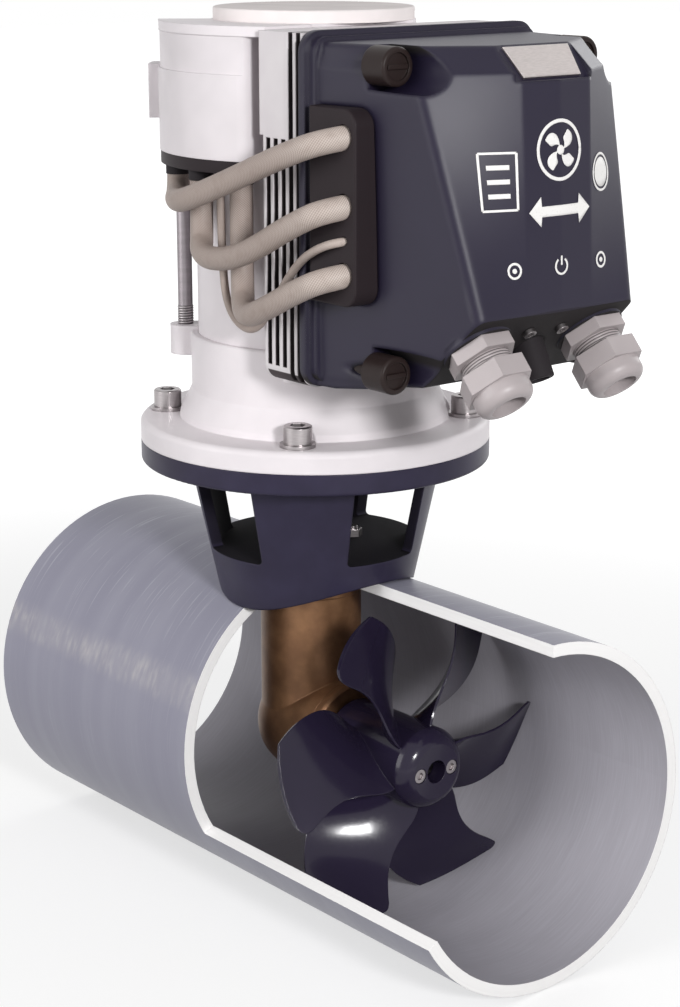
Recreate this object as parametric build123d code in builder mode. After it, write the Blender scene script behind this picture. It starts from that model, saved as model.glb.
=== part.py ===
"""Bow thruster with its electric motor and controller, shown on a cut-away length of tunnel.

All sizes are millimetres. The origin is where the tunnel's axis crosses the motor's axis.
+Z runs up the motor, +X runs along the tunnel towards the propeller and the controller.
"""

import os
from math import atan2, cos, degrees, hypot, pi, radians, sin, sqrt, tan

from build123d import *

os.makedirs("parts", exist_ok=True)

# Running and seating clearances
slip = 0.05  # shaft in a bore, on the radius
seat = 0.1  # a piece in its pocket, on each side
air = 0.3  # between bodies that move past each other

# Tunnel
tunnel_bore_r = 92.5
tunnel_wall = 7.0
tunnel_r = tunnel_bore_r + tunnel_wall
tunnel_far_x = -197.5
tunnel_near_x = 200.5
window_start_x = 2.0  # the near half is cut open from here on
window_from = 90.0  # degrees from +Y towards +Z
window_to = 210.0

# Bracket between tunnel and motor
flange_r = 101.5
bracket_top_r = 74.1
bracket_low_r = 57.5
bracket_low_z = tunnel_r - 10.5
bracket_wall = 7.0
bracket_floor_low = tunnel_r + 4.5
bracket_floor_thick = 10.0
bracket_floor_top = bracket_floor_low + bracket_floor_thick
bracket_leg_high = 52.0
bracket_flange_low = bracket_floor_top + bracket_leg_high
bracket_flange_thick = 12.5
bracket_flange_top = bracket_flange_low + bracket_flange_thick
bracket_window_deg = 42.0
bracket_window_corner = 3.0
saddle_gasket_thick = 1.0

# Gear leg, its carrier and its studs
leg_r = 30.0
leg_setback = 5.0  # the leg's axis stands behind the drive shaft
leg_gasket_thick = 0.5
leg_collar_r = 31.5
leg_collar_low = tunnel_bore_r - 8.5
spigot_r = 17.5
spigot_top = tunnel_r + 3.5
spigot_gap = 0.5
barrel_r = 32.5
barrel_front_x = 30.0
carrier_front_x = 36.0
stud_r = 3.0
stud_circle_r = 25.2
stud_deg = (60, 120, 240, 300)
stud_low = tunnel_bore_r - 14.5
nut_thick = 4.5
nut_flats = 10.0

# Bevel gears
gear_module = 1.75
pinion_teeth = 12
wheel_teeth = 24
tooth_face = 7.5
pressure_deg = 20.0
backlash = 0.24  # taken off each tooth at the large end
wheel_back_x = 17.0
pinion_back_z = 26.0

# Shafts and bearings of the leg
drive_shaft_r = 7.0
drive_shaft_nose_r = 4.0
drive_shaft_low = 13.4
drive_shaft_top = bracket_floor_top + 32.0
drive_bearing_r = 14.0
drive_bearing_high = 9.0
drive_bearing_low_z = 28.0
drive_bearing_up_z = leg_collar_low
prop_shaft_r = 8.0
prop_tail_r = 6.0
prop_bearing_r = 17.0
prop_bearing_wide = 8.5
tail_bearing_r = 11.0
tail_bearing_wide = 7.0
tail_bearing_x = -31.0
chamber_r = 24.0
chamber_back_x = -24.0
prop_seal_r = 13.0
prop_seal_wide = 4.5

# Propeller
hub_r = 24.0
hub_back_x = 38.0
hub_shoulder_x = 100.0
hub_nose_x = 109.0
blade_count = 6
blade_tip_gap = 2.5  # to the tunnel
blade_tip_r = tunnel_bore_r - blade_tip_gap
lead_tip_round = 4.5
trail_tip_round = 12.0
tip_spare_deg = 0.5
tip_side_long = 28.0
lead_side_deg = 12.0  # how far each side of the tip's outline turns from the radial line
trail_side_deg = 46.5
blade_front_deg = 13.0  # where a blade's leading tip stands
blade_lean_deg = 22.0  # from the leading tip back to the blade's own radial line
hub_screw_pitch = 23.5
hub_screw_r = 2.6
hub_screw_long = 5.5
hub_screw_head_r = 4.1
hub_screw_head_high = 2.6
hub_screw_sunk = 0.6
hub_screw_key_flats = 4.0
hub_screw_key_deep = 1.6
hub_nose_flat_r = 16.2
hub_nose_round = 12.0
hub_seat_x = 87.0  # the shaft's front end, against the wall in the hub
hub_wall = 5.0
hub_bolt_r = 4.0
hub_bolt_head_r = 6.4
hub_bolt_head_high = 7.0
hub_bolt_key_flats = 6.0
hub_bolt_key_deep = 4.0
hub_recess_r = 6.8

# Motor
motor_flange_thick = 12.5
motor_flange_top = bracket_flange_top + motor_flange_thick
flange_bolt_edge = 14.5  # from the flange's rim to the middle of a bolt
flange_bolt_circle_r = flange_r - flange_bolt_edge
flange_bolt_deep = 10.5  # how far a bolt reaches into the bracket
flange_bolt_head_r = 8.0
flange_bolt_head_high = 10.0
flange_bolt_key_flats = 8.0
flange_bolt_key_deep = 5.0
flange_bolt_r = 5.0
flange_washer_r = 10.0
flange_washer_thick = 2.0
bolt_pocket_r = 12.5
yoke_r = 67.2
yoke_wall = 6.5
skirt_r = yoke_r + 4.3
skirt_top = motor_flange_top + 49.0
flare_r = skirt_r + 7.5
flare_top = motor_flange_top + 17.0
yoke_top = skirt_top + 152.0
cap_high = 18.0
cap_plate_low = yoke_top + cap_high
cap_plate_thick = 5.5
cap_plate_top = cap_plate_low + cap_plate_thick
disc_r = 56.2
disc_rise = 7.0
disc_top = cap_plate_top + disc_rise
tie_rod_circle_r = yoke_r + 8.2
tie_rod_r = 4.25
rod_ear_r = 6.5
rod_ear_long = 15.0
rod_ear_low = cap_plate_low - 12.0
lug_low = skirt_top - 15.0
lug_top = skirt_top + 2.0
lug_wide = 20.0
lug_root_r = yoke_r - 7.2
motor_shaft_r = 8.5
motor_bearing_r = 17.5
motor_bearing_high = 12.0
motor_room_low = motor_flange_top + 9.0
lower_bearing_z = motor_flange_top - 7.0
upper_bearing_z = yoke_top + 2.0
magnet_thick = 12.0
armature_gap = 4.7  # between the armature and the magnets
armature_r = yoke_r - yoke_wall - magnet_thick - armature_gap
armature_low = skirt_top + 22.0
armature_top = yoke_top - 47.0
armature_slots = 14
armature_slot_size = (8.0, 3.0)
winding_deep = 6.0  # how far the windings stand in from the armature's rim
winding_low_high = 8.0
winding_top_high = 4.0
commutator_r = 25.0
commutator_low = armature_top + 5.0
commutator_top = commutator_low + 26.0
commutator_bars = 14
commutator_slot_size = (3.0, 0.8)
magnet_low = armature_low - 10.0
magnet_top = armature_top + 3.0
magnet_half_deg = 34.0
brush_size = 10.0
brush_long = 20.0
brush_ring_thick = 4.0
brush_box_low = commutator_low + 7.0
brush_box_top = brush_box_low + 20.0
brush_box_long = 22.0
brush_box_wall = 3.0

# Coupling between motor and drive shaft
coupling_r = 19.0
coupling_top = bracket_flange_low + 6.0
coupling_low = bracket_floor_top + 6.0
claw_in_r = 10.0
spider_high = 14.0
spider_hole_r = 7.5
jaw_count = 3

# Terminal housing on the motor's side
terminal_r = yoke_r + 19.8
terminal_from = -129.0
terminal_to = -62.0
lid_to = -40.0  # beyond the heat sink's face, which cuts the lid off
terminal_high = 65.5
terminal_low = cap_plate_low - terminal_high
terminal_step_z = cap_plate_low - 20.0
terminal_step = 1.0
terminal_wall = 3.0
terminal_corner_r = 7.0
rod_tab_r = tie_rod_circle_r + 17.4  # the tab that reaches round the tie rod behind the housing
rod_tab_from = -140.5
rod_tab_low = terminal_low + 16.5
rod_tab_top = terminal_step_z + 1.0
terminal_plate_thick = 7.0
terminal_stud_circle_r = yoke_r + 10.8
terminal_deg = (-115.5, -91.0, -69.0)
terminal_stud_r = 2.5
terminal_nut_flats = 8.0
terminal_stud_rise = 8.0
lug_sleeve_r = 6.9
lug_sleeve_high = 5.5
cable_in_sleeve = 2.0

# Heat sink
sink_face_x = 86.0
sink_back_x = 52.0
sink_shoulder = 3.0  # how far its upper half stands further back
sink_half_wide = 76.0
sink_low = skirt_top - 11.0
sink_top_drop = 1.5
sink_top = cap_plate_top - sink_top_drop
sink_corner_r = 9.0
sink_gap = 0.4
slot_wide = 4.0
slot_pitch = 6.45
slot_deep = 15.0
first_slot_x = 56.1
inner_slots = 3
outer_slots = 2
inner_slot_low = sink_low + 9.0
inner_slot_top = sink_top - 55.0
outer_slot_low = sink_low + 2.5
board_pad_r = 4.0
board_pad_high = 10.0
board_pad_y = 48.0

# Controller cover
rim_half_wide = 80.3
rim_low = sink_low + 1.9
rim_top = cap_plate_top
rim_thick = 5.0
rim_corner_r = 11.0
rim_step = 3.0
rim_step_thick = 5.0
cover_gasket_thick = 1.5
gasket_inset = 3.0
gasket_band = 10.5
gasket_hole_corner = 4.0
cover_wall = 3.0
slope_low = (156.0, rim_low + 7.1)  # the hood's sloping underside, as (x, z)
slope_high = (200.5, rim_low + 47.1)
# height, depth of the rear edge, front corner, fold and middle, the last three towards the front
cover_sections = (
    (rim_low + 1.1, 74.0, (106.0, 71.0), (106.6, 24.0), 106.8),
    (slope_low[1], 75.5, (155.3, 61.0), (155.8, 23.0), slope_low[0]),
    (slope_high[1], 76.0, (198.8, 54.5), (200.0, 22.0), slope_high[0]),
    (rim_top - 18.5, 76.0, (163.5, 68.0), (192.5, 23.5), 195.0),
    (rim_top - 5.5, 74.0, (150.0, 61.0), (177.5, 22.0), 179.0),
)
hood_ridge_round = 6.0
hood_top_round = 3.0
hood_chin_round = 4.5
knob_y = 65.0
knob_up_z = rim_top - 15.5
knob_low_z = rim_low + 13.6
knob_r = 10.0
knob_face_x = 148.0
knob_floor_x = 131.0
knob_pocket_r = 13.0
knob_stem_r = 4.0
knob_stem_deep = 12.0
knob_face_round = 1.5
knob_rim_wide = 3.0
knob_bar_wide = 2.4
knob_dish_deep = 1.5

# Grommet and cables on the cover's side
grommet_x = (98.0, 135.0)
grommet_z = (terminal_low - 65.5, terminal_low + 34.5)
grommet_out_y = -82.0
grommet_in_y = -64.0
grommet_corner_r = 9.0
cable_r = 6.35
signal_r = 2.25

# Glands, boot and small screws under the cover
gland_y = 39.7
gland_up_face = 34.0
gland_pad_high = 0.8
gland_pad_r = 18.8
gland_flats = 32.0
gland_hex_high = 7.0
gland_thread_r = 13.2
gland_thread_end = 20.0
gland_bore_r = 9.5
gland_seat_r = 11.6
gland_seat_start = 9.0
gland_seal_start = 13.0
gland_seal_end = 27.0
gland_seal_bore_r = 6.5
gland_cap_start = 13.5
gland_cap_hex_end = 24.5
gland_cap_end = 34.5
gland_cap_flats = 33.0
gland_mouth_r = 9.3
boot_r = 8.5
boot_foot = (176.0, rim_low + 26.6)  # where its axis leaves the slope, as (x, z)
boot_long = 20.0
boot_in_cover = 7.0
boot_bore_r = 6.0
boot_bore_deep = 14.0
small_screw_y = 11.4
small_screw_up_face = 43.5
small_screw_r = 3.4
small_screw_high = 2.4
small_screw_core_r = 1.5
small_screw_deep = 7.0

# Badge plate on the cover's top edge
badge_low = (190.4, rim_top - 20.3)
badge_high = (177.6, rim_top - 5.9)
badge_half_low = 19.8
badge_half_high = 22.5
badge_thick = 1.6
badge_recess_half = 26.0

# Electronics under the cover
module_size = (86.0, 48.0)
board_size = (110.0, 118.0)
board_thick = 1.6
capacitor_r = 9.0
capacitor_high = 22.0
capacitor_spots = ((-32.0, 30.0), (-10.0, 34.0), (14.0, 34.0), (34.0, 28.0))

# Routes of the cables, from inside the controller to below the motor's terminals. Their heights
# are taken from the foot of the terminal housing
signal_deg = -79.5
cable_routes = (
    (
        (128.2, -60.0, 21.5),
        (125.0, -91.5, 20.0),
        (94.0, -96.5, 9.5),
        (50.0, -98.0, -7.5),
        (16.0, -98.5, -19.5),
        (-6.5, -92.0, -24.0),
    ),
    (
        (128.2, -60.0, -13.5),
        (125.0, -91.5, -14.5),
        (98.0, -94.5, -26.0),
        (66.0, -94.0, -42.0),
        (40.0, -93.0, -50.5),
        (13.0, -89.5, -52.0),
    ),
    (
        (128.2, -60.0, -48.5),
        (125.0, -91.5, -49.5),
        (99.0, -94.0, -60.5),
        (74.0, -93.0, -72.5),
        (49.0, -88.0, -81.0),
    ),
)
cable_turn_up = (-22.0, -41.0, -67.5)
signal_route = (
    (129.8, -60.0, -31.5),
    (128.0, -84.5, -31.0),
    (108.0, -86.5, -37.5),
    (86.0, -82.0, -49.5),
    (64.0, -78.5, -71.5),
    (46.0, -79.0, -92.0),
    (25.0, -80.0, -83.5),
)
signal_turn_up = -56.5
signal_in_housing = 4.0

# Values worked out from the sizes above
saddle_r = tunnel_r + saddle_gasket_thick
cone_slope = (bracket_top_r - bracket_low_r) / (bracket_flange_low - bracket_low_z)
cone_taper = degrees(atan2(cone_slope, 1))
spigot_hole_r = spigot_r + spigot_gap
stud_spots = [
    (stud_circle_r * cos(radians(a)) - leg_setback, stud_circle_r * sin(radians(a)))
    for a in stud_deg
]
cover_back_x = sink_face_x + cover_gasket_thick
bearing_top_z = drive_bearing_up_z + drive_bearing_high
spacer = 0.5
middle_z = (rim_low + rim_top) / 2


def save(piece, label):
    piece.part.label = label
    export_step(piece.part, f"parts/{label}.step")


def turn_z(*points, mode=Mode.ADD):
    """Turns a closed outline of (radius, height) points about the Z axis."""
    with BuildSketch(Plane.XZ) as outline:
        with BuildLine():
            Polyline(*points, close=True)
        make_face()
    revolve(outline.sketch, axis=Axis.Z, mode=mode)


def turn_x(*points, mode=Mode.ADD):
    """Turns a closed outline of (place along X, radius) points about the X axis."""
    with BuildSketch(Plane.XZ) as outline:
        with BuildLine():
            Polyline(*points, close=True)
        make_face()
    revolve(outline.sketch, axis=Axis.X, mode=mode)


def drum_z(low, high, outer, inner=0.0, spots=((0, 0),), mode=Mode.ADD):
    """Stands a round bar or a ring on each spot, from one height to another."""
    with BuildSketch(Plane.XY.offset(low)) as circle:
        with Locations(*spots):
            Circle(outer)
            if inner > 0:
                Circle(inner, mode=Mode.SUBTRACT)
    extrude(circle.sketch, amount=high - low, mode=mode)


def drum_x(back, front, outer, inner=0.0, spots=((0, 0),), mode=Mode.ADD):
    """Lays a round bar or a ring along X on each (y, z) spot."""
    with BuildSketch(Plane.YZ.offset(back)) as circle:
        with Locations(*spots):
            Circle(outer)
            if inner > 0:
                Circle(inner, mode=Mode.SUBTRACT)
    extrude(circle.sketch, amount=front - back, mode=mode)


def sector_z(low, high, outer, inner, start, end, mode=Mode.ADD):
    """Raises a ring sector, its angles in degrees from +X towards +Y."""
    with BuildSketch(Plane.XY.offset(low)) as piece:
        with BuildLine():
            outside = CenterArc((0, 0), outer, start, end - start)
            inside = CenterArc((0, 0), inner, start, end - start)
            Line(outside @ 0, inside @ 0)
            Line(outside @ 1, inside @ 1)
        make_face()
    extrude(piece.sketch, amount=high - low, mode=mode)


def block(x_range, y_range, z_range, mode=Mode.ADD):
    """Fills a plain box between two limits along each axis."""
    size = [top - low for low, top in (x_range, y_range, z_range)]
    middle = [(top + low) / 2 for low, top in (x_range, y_range, z_range)]
    with Locations(tuple(middle)):
        Box(*size, mode=mode)


def window_prism(front, mode=Mode.SUBTRACT):
    """The wedge that the viewing window takes out, from the window's edge to the front."""
    with BuildSketch(Plane.YZ.offset(window_start_x)) as wedge:
        with BuildLine():
            arc = CenterArc((0, 0), 2 * tunnel_r, window_from, window_to - window_from)
            Line((0, 0), arc @ 0)
            Line(arc @ 1, (0, 0))
        make_face()
    extrude(wedge.sketch, amount=front - window_start_x, mode=mode)


def bearing_z(low, high, outer, inner):
    """A closed ball bearing: two races with a shallow shield between them on each face."""
    rim = (outer - inner) * 0.24
    turn_z(
        (inner, low),
        (inner + rim, low),
        (inner + rim, low + 0.5),
        (outer - rim, low + 0.5),
        (outer - rim, low),
        (outer, low),
        (outer, high),
        (outer - rim, high),
        (outer - rim, high - 0.5),
        (inner + rim, high - 0.5),
        (inner + rim, high),
        (inner, high),
    )


def bearing_x(back, front, outer, inner):
    """The same bearing lying along X."""
    rim = (outer - inner) * 0.24
    turn_x(
        (back, inner),
        (back, inner + rim),
        (back + 0.5, inner + rim),
        (back + 0.5, outer - rim),
        (back, outer - rim),
        (back, outer),
        (front, outer),
        (front, outer - rim),
        (front - 0.5, outer - rim),
        (front - 0.5, inner + rim),
        (front, inner + rim),
        (front, inner),
    )


# Tunnel: a tube with holes for the leg and its studs, its near half partly cut away
with BuildPart() as tunnel:
    drum_x(tunnel_far_x, tunnel_near_x, tunnel_r, tunnel_bore_r)
    window_prism(tunnel_near_x)
    drum_z(0, 1.2 * tunnel_r, spigot_hole_r, mode=Mode.SUBTRACT)
    drum_z(0, 1.2 * tunnel_r, stud_r + 0.3, spots=stud_spots, mode=Mode.SUBTRACT)
save(tunnel, "tunnel")

# Gasket between the tunnel's outside and the bracket
with BuildPart() as saddle_gasket:
    drum_z(0, 1.2 * tunnel_r, bracket_low_r - 4.0)
    drum_x(-tunnel_r, tunnel_r, saddle_r - 0.03, tunnel_r + 0.03, mode=Mode.INTERSECT)
    window_prism(tunnel_near_x)
    drum_z(0, 1.2 * tunnel_r, spigot_hole_r, mode=Mode.SUBTRACT)
    drum_z(0, 1.2 * tunnel_r, stud_r + 0.3, spots=stud_spots, mode=Mode.SUBTRACT)
save(saddle_gasket, "saddle_gasket")

# Bracket: a round flange on four legs over a saddle that fits the tunnel
with BuildPart() as mounting_bracket:
    with BuildSketch(Plane.XY.offset(bracket_flange_low)):
        Circle(flange_r)
    extrude(amount=bracket_flange_thick)
    fillet(mounting_bracket.edges().group_by(Axis.Z)[0], 2.0)
    with BuildSketch(Plane.XY.offset(bracket_flange_low)):
        Circle(bracket_top_r)
    extrude(amount=-(bracket_flange_low - 0.6 * saddle_r), taper=cone_taper)
    inner_top_r = bracket_top_r - bracket_wall + cone_slope * bracket_flange_thick
    with BuildSketch(Plane.XY.offset(bracket_flange_top)):
        Circle(inner_top_r)
    room_deep = bracket_flange_top - bracket_floor_top
    extrude(amount=-room_deep, taper=cone_taper, mode=Mode.SUBTRACT)
    for angle in (0, 90, 180, 270):
        half_top = bracket_top_r * sin(radians(bracket_window_deg / 2))
        half_low = half_top * 0.9
        with BuildSketch(Plane.XZ.rotated((0, 0, angle)).offset(-flange_r)) as opening:
            with BuildLine():
                Polyline(
                    (-half_low, bracket_floor_top),
                    (half_low, bracket_floor_top),
                    (half_top, bracket_flange_low),
                    (-half_top, bracket_flange_low),
                    close=True,
                )
            make_face()
            fillet(opening.vertices(), bracket_window_corner)
        extrude(amount=flange_r, mode=Mode.SUBTRACT)
    drum_x(-flange_r, flange_r, saddle_r, mode=Mode.SUBTRACT)
    drum_z(0, bracket_floor_low, spigot_r + seat, mode=Mode.SUBTRACT)
    drum_z(0, bracket_floor_top, drive_bearing_r - 3.0, mode=Mode.SUBTRACT)
    drum_z(0, bracket_floor_top, stud_r + seat, spots=stud_spots, mode=Mode.SUBTRACT)
    with BuildSketch(Plane.XY.offset(bracket_flange_top)):
        with PolarLocations(flange_bolt_circle_r, 4, start_angle=45):
            Circle(flange_bolt_r + slip)
    extrude(amount=-flange_bolt_deep, mode=Mode.SUBTRACT)
save(mounting_bracket, "mounting_bracket")

# Gear leg: a column with a gear housing at its foot and a spigot through the tunnel's wall
with BuildPart() as gear_leg:
    drum_z(0, tunnel_bore_r, leg_r, spots=[(-leg_setback, 0)])
    with BuildSketch(Plane.XY.offset(leg_collar_low)):
        with Locations((-leg_setback, 0)):
            Circle(leg_collar_r)
    extrude(amount=tunnel_bore_r - leg_collar_low)
    drum_x(
        -tunnel_bore_r,
        tunnel_bore_r,
        tunnel_bore_r - leg_gasket_thick,
        mode=Mode.INTERSECT,
    )
    with Locations((-leg_setback, 0, 0)):
        Sphere(barrel_r)
    drum_x(-leg_setback, barrel_front_x, barrel_r)
    drum_z(tunnel_bore_r - 15.0, spigot_top, spigot_r)
    drum_x(chamber_back_x, barrel_front_x, chamber_r, mode=Mode.SUBTRACT)
    drum_x(tail_bearing_x, chamber_back_x, tail_bearing_r + slip, mode=Mode.SUBTRACT)
    drum_z(10.0, drive_bearing_low_z + drive_bearing_high, drive_bearing_r + slip, mode=Mode.SUBTRACT)
    drum_z(10.0, drive_bearing_up_z, drive_bearing_r - 2.0, mode=Mode.SUBTRACT)
    drum_z(drive_bearing_up_z, spigot_top, drive_bearing_r + slip, mode=Mode.SUBTRACT)
    drum_z(stud_low, tunnel_bore_r, stud_r + slip, spots=stud_spots, mode=Mode.SUBTRACT)
save(gear_leg, "gear_leg")

# Studs that clamp the leg, the tunnel and the bracket together, with their nuts
with BuildPart() as leg_studs:
    drum_z(stud_low + slip, bracket_floor_top + nut_thick + 1.5, stud_r, spots=stud_spots)
save(leg_studs, "leg_studs")

with BuildPart() as leg_nuts:
    with BuildSketch(Plane.XY.offset(bracket_floor_top)):
        with Locations(*stud_spots):
            RegularPolygon(nut_flats / 2, 6, major_radius=False)
            Circle(stud_r + slip, mode=Mode.SUBTRACT)
    extrude(amount=nut_thick)
save(leg_nuts, "leg_nuts")

# Carrier that closes the gear chamber and holds the front bearing
front_bearing_x = 21.0
front_bearing_end = front_bearing_x + prop_bearing_wide
with BuildPart() as bearing_carrier:
    turn_x(
        (front_bearing_x - spacer, prop_bearing_r + slip),
        (front_bearing_x - spacer, chamber_r - seat),
        (barrel_front_x, chamber_r - seat),
        (barrel_front_x, barrel_r),
        (carrier_front_x - 1.5, barrel_r),
        (carrier_front_x, barrel_r - 1.5),
        (carrier_front_x, prop_seal_r + slip),
        (carrier_front_x - prop_seal_wide, prop_seal_r + slip),
        (carrier_front_x - prop_seal_wide, prop_seal_r - 1.5),
        (front_bearing_end, prop_seal_r - 1.5),
        (front_bearing_end, prop_bearing_r + slip),
    )
save(bearing_carrier, "bearing_carrier")

with BuildPart() as leg_bearings:
    lower_top = drive_bearing_low_z + drive_bearing_high
    bearing_z(drive_bearing_low_z, lower_top, drive_bearing_r, drive_shaft_r + slip)
    bearing_z(drive_bearing_up_z, bearing_top_z, drive_bearing_r, drive_shaft_r + slip)
    bearing_x(front_bearing_x, front_bearing_end, prop_bearing_r, prop_shaft_r + slip)
    tail_end = tail_bearing_x + tail_bearing_wide
    bearing_x(tail_bearing_x, tail_end, tail_bearing_r, prop_tail_r + slip)
save(leg_bearings, "leg_bearings")

with BuildPart() as shaft_seals:
    bearing_z(bearing_top_z + 0.2, spigot_top - 1.0, drive_bearing_r, drive_shaft_r + slip)
    seal_back = carrier_front_x - prop_seal_wide
    bearing_x(seal_back + 0.1, carrier_front_x - 0.6, prop_seal_r, prop_shaft_r + slip)
save(shaft_seals, "shaft_seals")


# Bevel gears: straight teeth whose edges all run to the origin
pitch_deg = degrees(atan2(pinion_teeth, wheel_teeth))
cone_distance = hypot(gear_module * pinion_teeth, gear_module * wheel_teeth) / 2
small_end = (cone_distance - tooth_face) / cone_distance
addendum = gear_module
dedendum = 1.2 * gear_module


def involute(angle):
    return tan(angle) - angle


def tooth_sketch(teeth, cone_deg, scale):
    """One tooth of the virtual spur gear on the back cone, scaled towards the origin."""
    cone = radians(cone_deg)
    pitch_r = gear_module * teeth / 2 / cos(cone)
    base_r = pitch_r * cos(radians(pressure_deg))
    half = pi / (2 * teeth / cos(cone)) - backlash / (4 * pitch_r)
    half += involute(radians(pressure_deg))

    def flank(radius):
        turn = 0.0
        if radius > base_r:
            turn = involute(atan2(sqrt(radius**2 - base_r**2), base_r))
        angle = half - turn
        return radius * sin(angle) * scale, (radius * cos(angle) - pitch_r) * scale

    radii = (pitch_r - 1.25 * dedendum, pitch_r, pitch_r + addendum)
    right = [flank(radius) for radius in radii]
    left = [(-u, v) for u, v in reversed(right)]
    out = Vector(sin(cone), 0, cos(cone))
    place = Plane(out * cone_distance * scale, x_dir=(0, -1, 0), z_dir=out)
    with BuildSketch(place) as tooth:
        with BuildLine():
            ThreePointArc(*right)
            Line(right[-1], left[0])
            ThreePointArc(*left)
            Line(left[-1], right[0])
        make_face()
    return tooth.sketch


def root_point(cone_deg, scale):
    cone = radians(cone_deg)
    radius = cone_distance * sin(cone) - dedendum * cos(cone)
    height = cone_distance * cos(cone) + dedendum * sin(cone)
    return radius * scale, height * scale


def bevel_teeth(teeth, cone_deg, first_deg):
    """Adds the ring of teeth, the first at the given angle about Z."""
    with BuildPart(mode=Mode.PRIVATE) as tooth:
        loft([tooth_sketch(teeth, cone_deg, 1.0), tooth_sketch(teeth, cone_deg, small_end)])
    turns = [first_deg + 360 * k / teeth for k in range(teeth)]
    with Locations(*[Location((0, 0, 0), (0, 0, turn)) for turn in turns]):
        add(tooth.part)


with BuildPart() as bevel_pinion:
    wide_r, wide_z = root_point(pitch_deg, 1.0)
    thin_r, thin_z = root_point(pitch_deg, small_end)
    turn_z(
        (drive_shaft_nose_r + slip, thin_z),
        (thin_r, thin_z),
        (wide_r, wide_z),
        (wide_r, wide_z + 1.2),
        (drive_shaft_r + 1.0, pinion_back_z),
        (drive_shaft_r + 1.0, drive_bearing_low_z - slip),
        (drive_shaft_nose_r + slip, drive_bearing_low_z - slip),
    )
    bevel_teeth(pinion_teeth, pitch_deg, 0.0)
save(bevel_pinion, "bevel_pinion")

# The wheel is drawn standing on Z and then laid down so that its axis is X
with BuildPart() as upright_wheel:
    wide_r, wide_z = root_point(90 - pitch_deg, 1.0)
    thin_r, thin_z = root_point(90 - pitch_deg, small_end)
    hub_back_r = prop_shaft_r + 4.0
    turn_z(
        (prop_shaft_r + slip, thin_z - 1.5),
        (thin_r - 2.0, thin_z - 1.5),
        (thin_r, thin_z),
        (wide_r, wide_z),
        (wide_r - 1.0, wheel_back_x),
        (hub_back_r, wheel_back_x),
        (hub_back_r, front_bearing_x - slip),
        (prop_shaft_r + slip, front_bearing_x - slip),
    )
    bevel_teeth(wheel_teeth, 90 - pitch_deg, 180 / wheel_teeth)
with BuildPart() as bevel_wheel:
    with Locations(Location((0, 0, 0), (0, 90, 0))):
        add(upright_wheel.part)
save(bevel_wheel, "bevel_wheel")

# Shafts of the leg
with BuildPart() as drive_shaft:
    turn_z(
        (0, drive_shaft_low),
        (drive_shaft_nose_r - 0.5, drive_shaft_low),
        (drive_shaft_nose_r, drive_shaft_low + 0.5),
        (drive_shaft_nose_r, drive_bearing_low_z),
        (drive_shaft_r, drive_bearing_low_z),
        (drive_shaft_r, drive_shaft_top - 1.0),
        (drive_shaft_r - 1.0, drive_shaft_top),
        (0, drive_shaft_top),
    )
save(drive_shaft, "drive_shaft")

hub_bolt_low = hub_seat_x - 24.0
with BuildPart() as prop_shaft:
    turn_x(
        (tail_bearing_x + 1.0, 0),
        (tail_bearing_x + 1.0, prop_tail_r),
        (tail_end + 1.0, prop_tail_r),
        (tail_end + 1.0, prop_shaft_r),
        (hub_seat_x - 1.2, prop_shaft_r),
        (hub_seat_x - seat, prop_shaft_r - 1.1),
        (hub_seat_x - seat, 0),
    )
    drum_x(hub_bolt_low - seat, hub_seat_x, hub_bolt_r + slip, mode=Mode.SUBTRACT)
save(prop_shaft, "prop_shaft")

# Propeller: six swept blades of changing pitch on a round-nosed hub
blade_edges = (  # radius, leading and trailing edge in degrees from the leading tip
    (22.0, 5.0, -55.0),
    (38.0, 0.5, -54.0),
    (52.0, -5.0, -52.0),
    (62.0, -5.8, -49.0),
    (72.0, -3.0, -43.5),
    (82.0, -0.6, -37.0),
    (96.0, 0.5, -26.0),
)
blade_heights = (18.0, 34.0, 50.0, 64.0, 76.0, 91.0)
blade_thick = (9.0, 7.6, 6.0, 4.8, 3.8, 2.6)
blade_rake = (95.0, 96.5, 98.5, 98.5, 97.0, 94.6)
blade_mm_per_deg = 0.70
blade_edge_thick = 1.3


def blade_edge_deg(radius):
    """Where the leading and the trailing edge stand at a radius, in degrees from the leading tip."""
    for (r1, *a1), (r2, *a2) in zip(blade_edges, blade_edges[1:]):
        if r1 <= radius <= r2:
            share = (radius - r1) / (r2 - r1)
            return [low + (high - low) * share for low, high in zip(a1, a2)]


def blade_point(height, column):
    """Where the blade's edge crosses a flat cut at this height: (x, y)."""
    for (r1, *a1), (r2, *a2) in zip(blade_edges, blade_edges[1:]):
        steps = 40
        for k in range(steps):
            share = k / steps
            radius = r1 + (r2 - r1) * share
            angle = a1[column] + (a2[column] - a1[column]) * share + blade_lean_deg
            if radius * cos(radians(angle)) >= height:
                return angle, -radius * sin(radians(angle))
    last = blade_edges[-1]
    angle = last[1 + column] + blade_lean_deg
    return angle, -height * tan(radians(angle))


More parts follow.
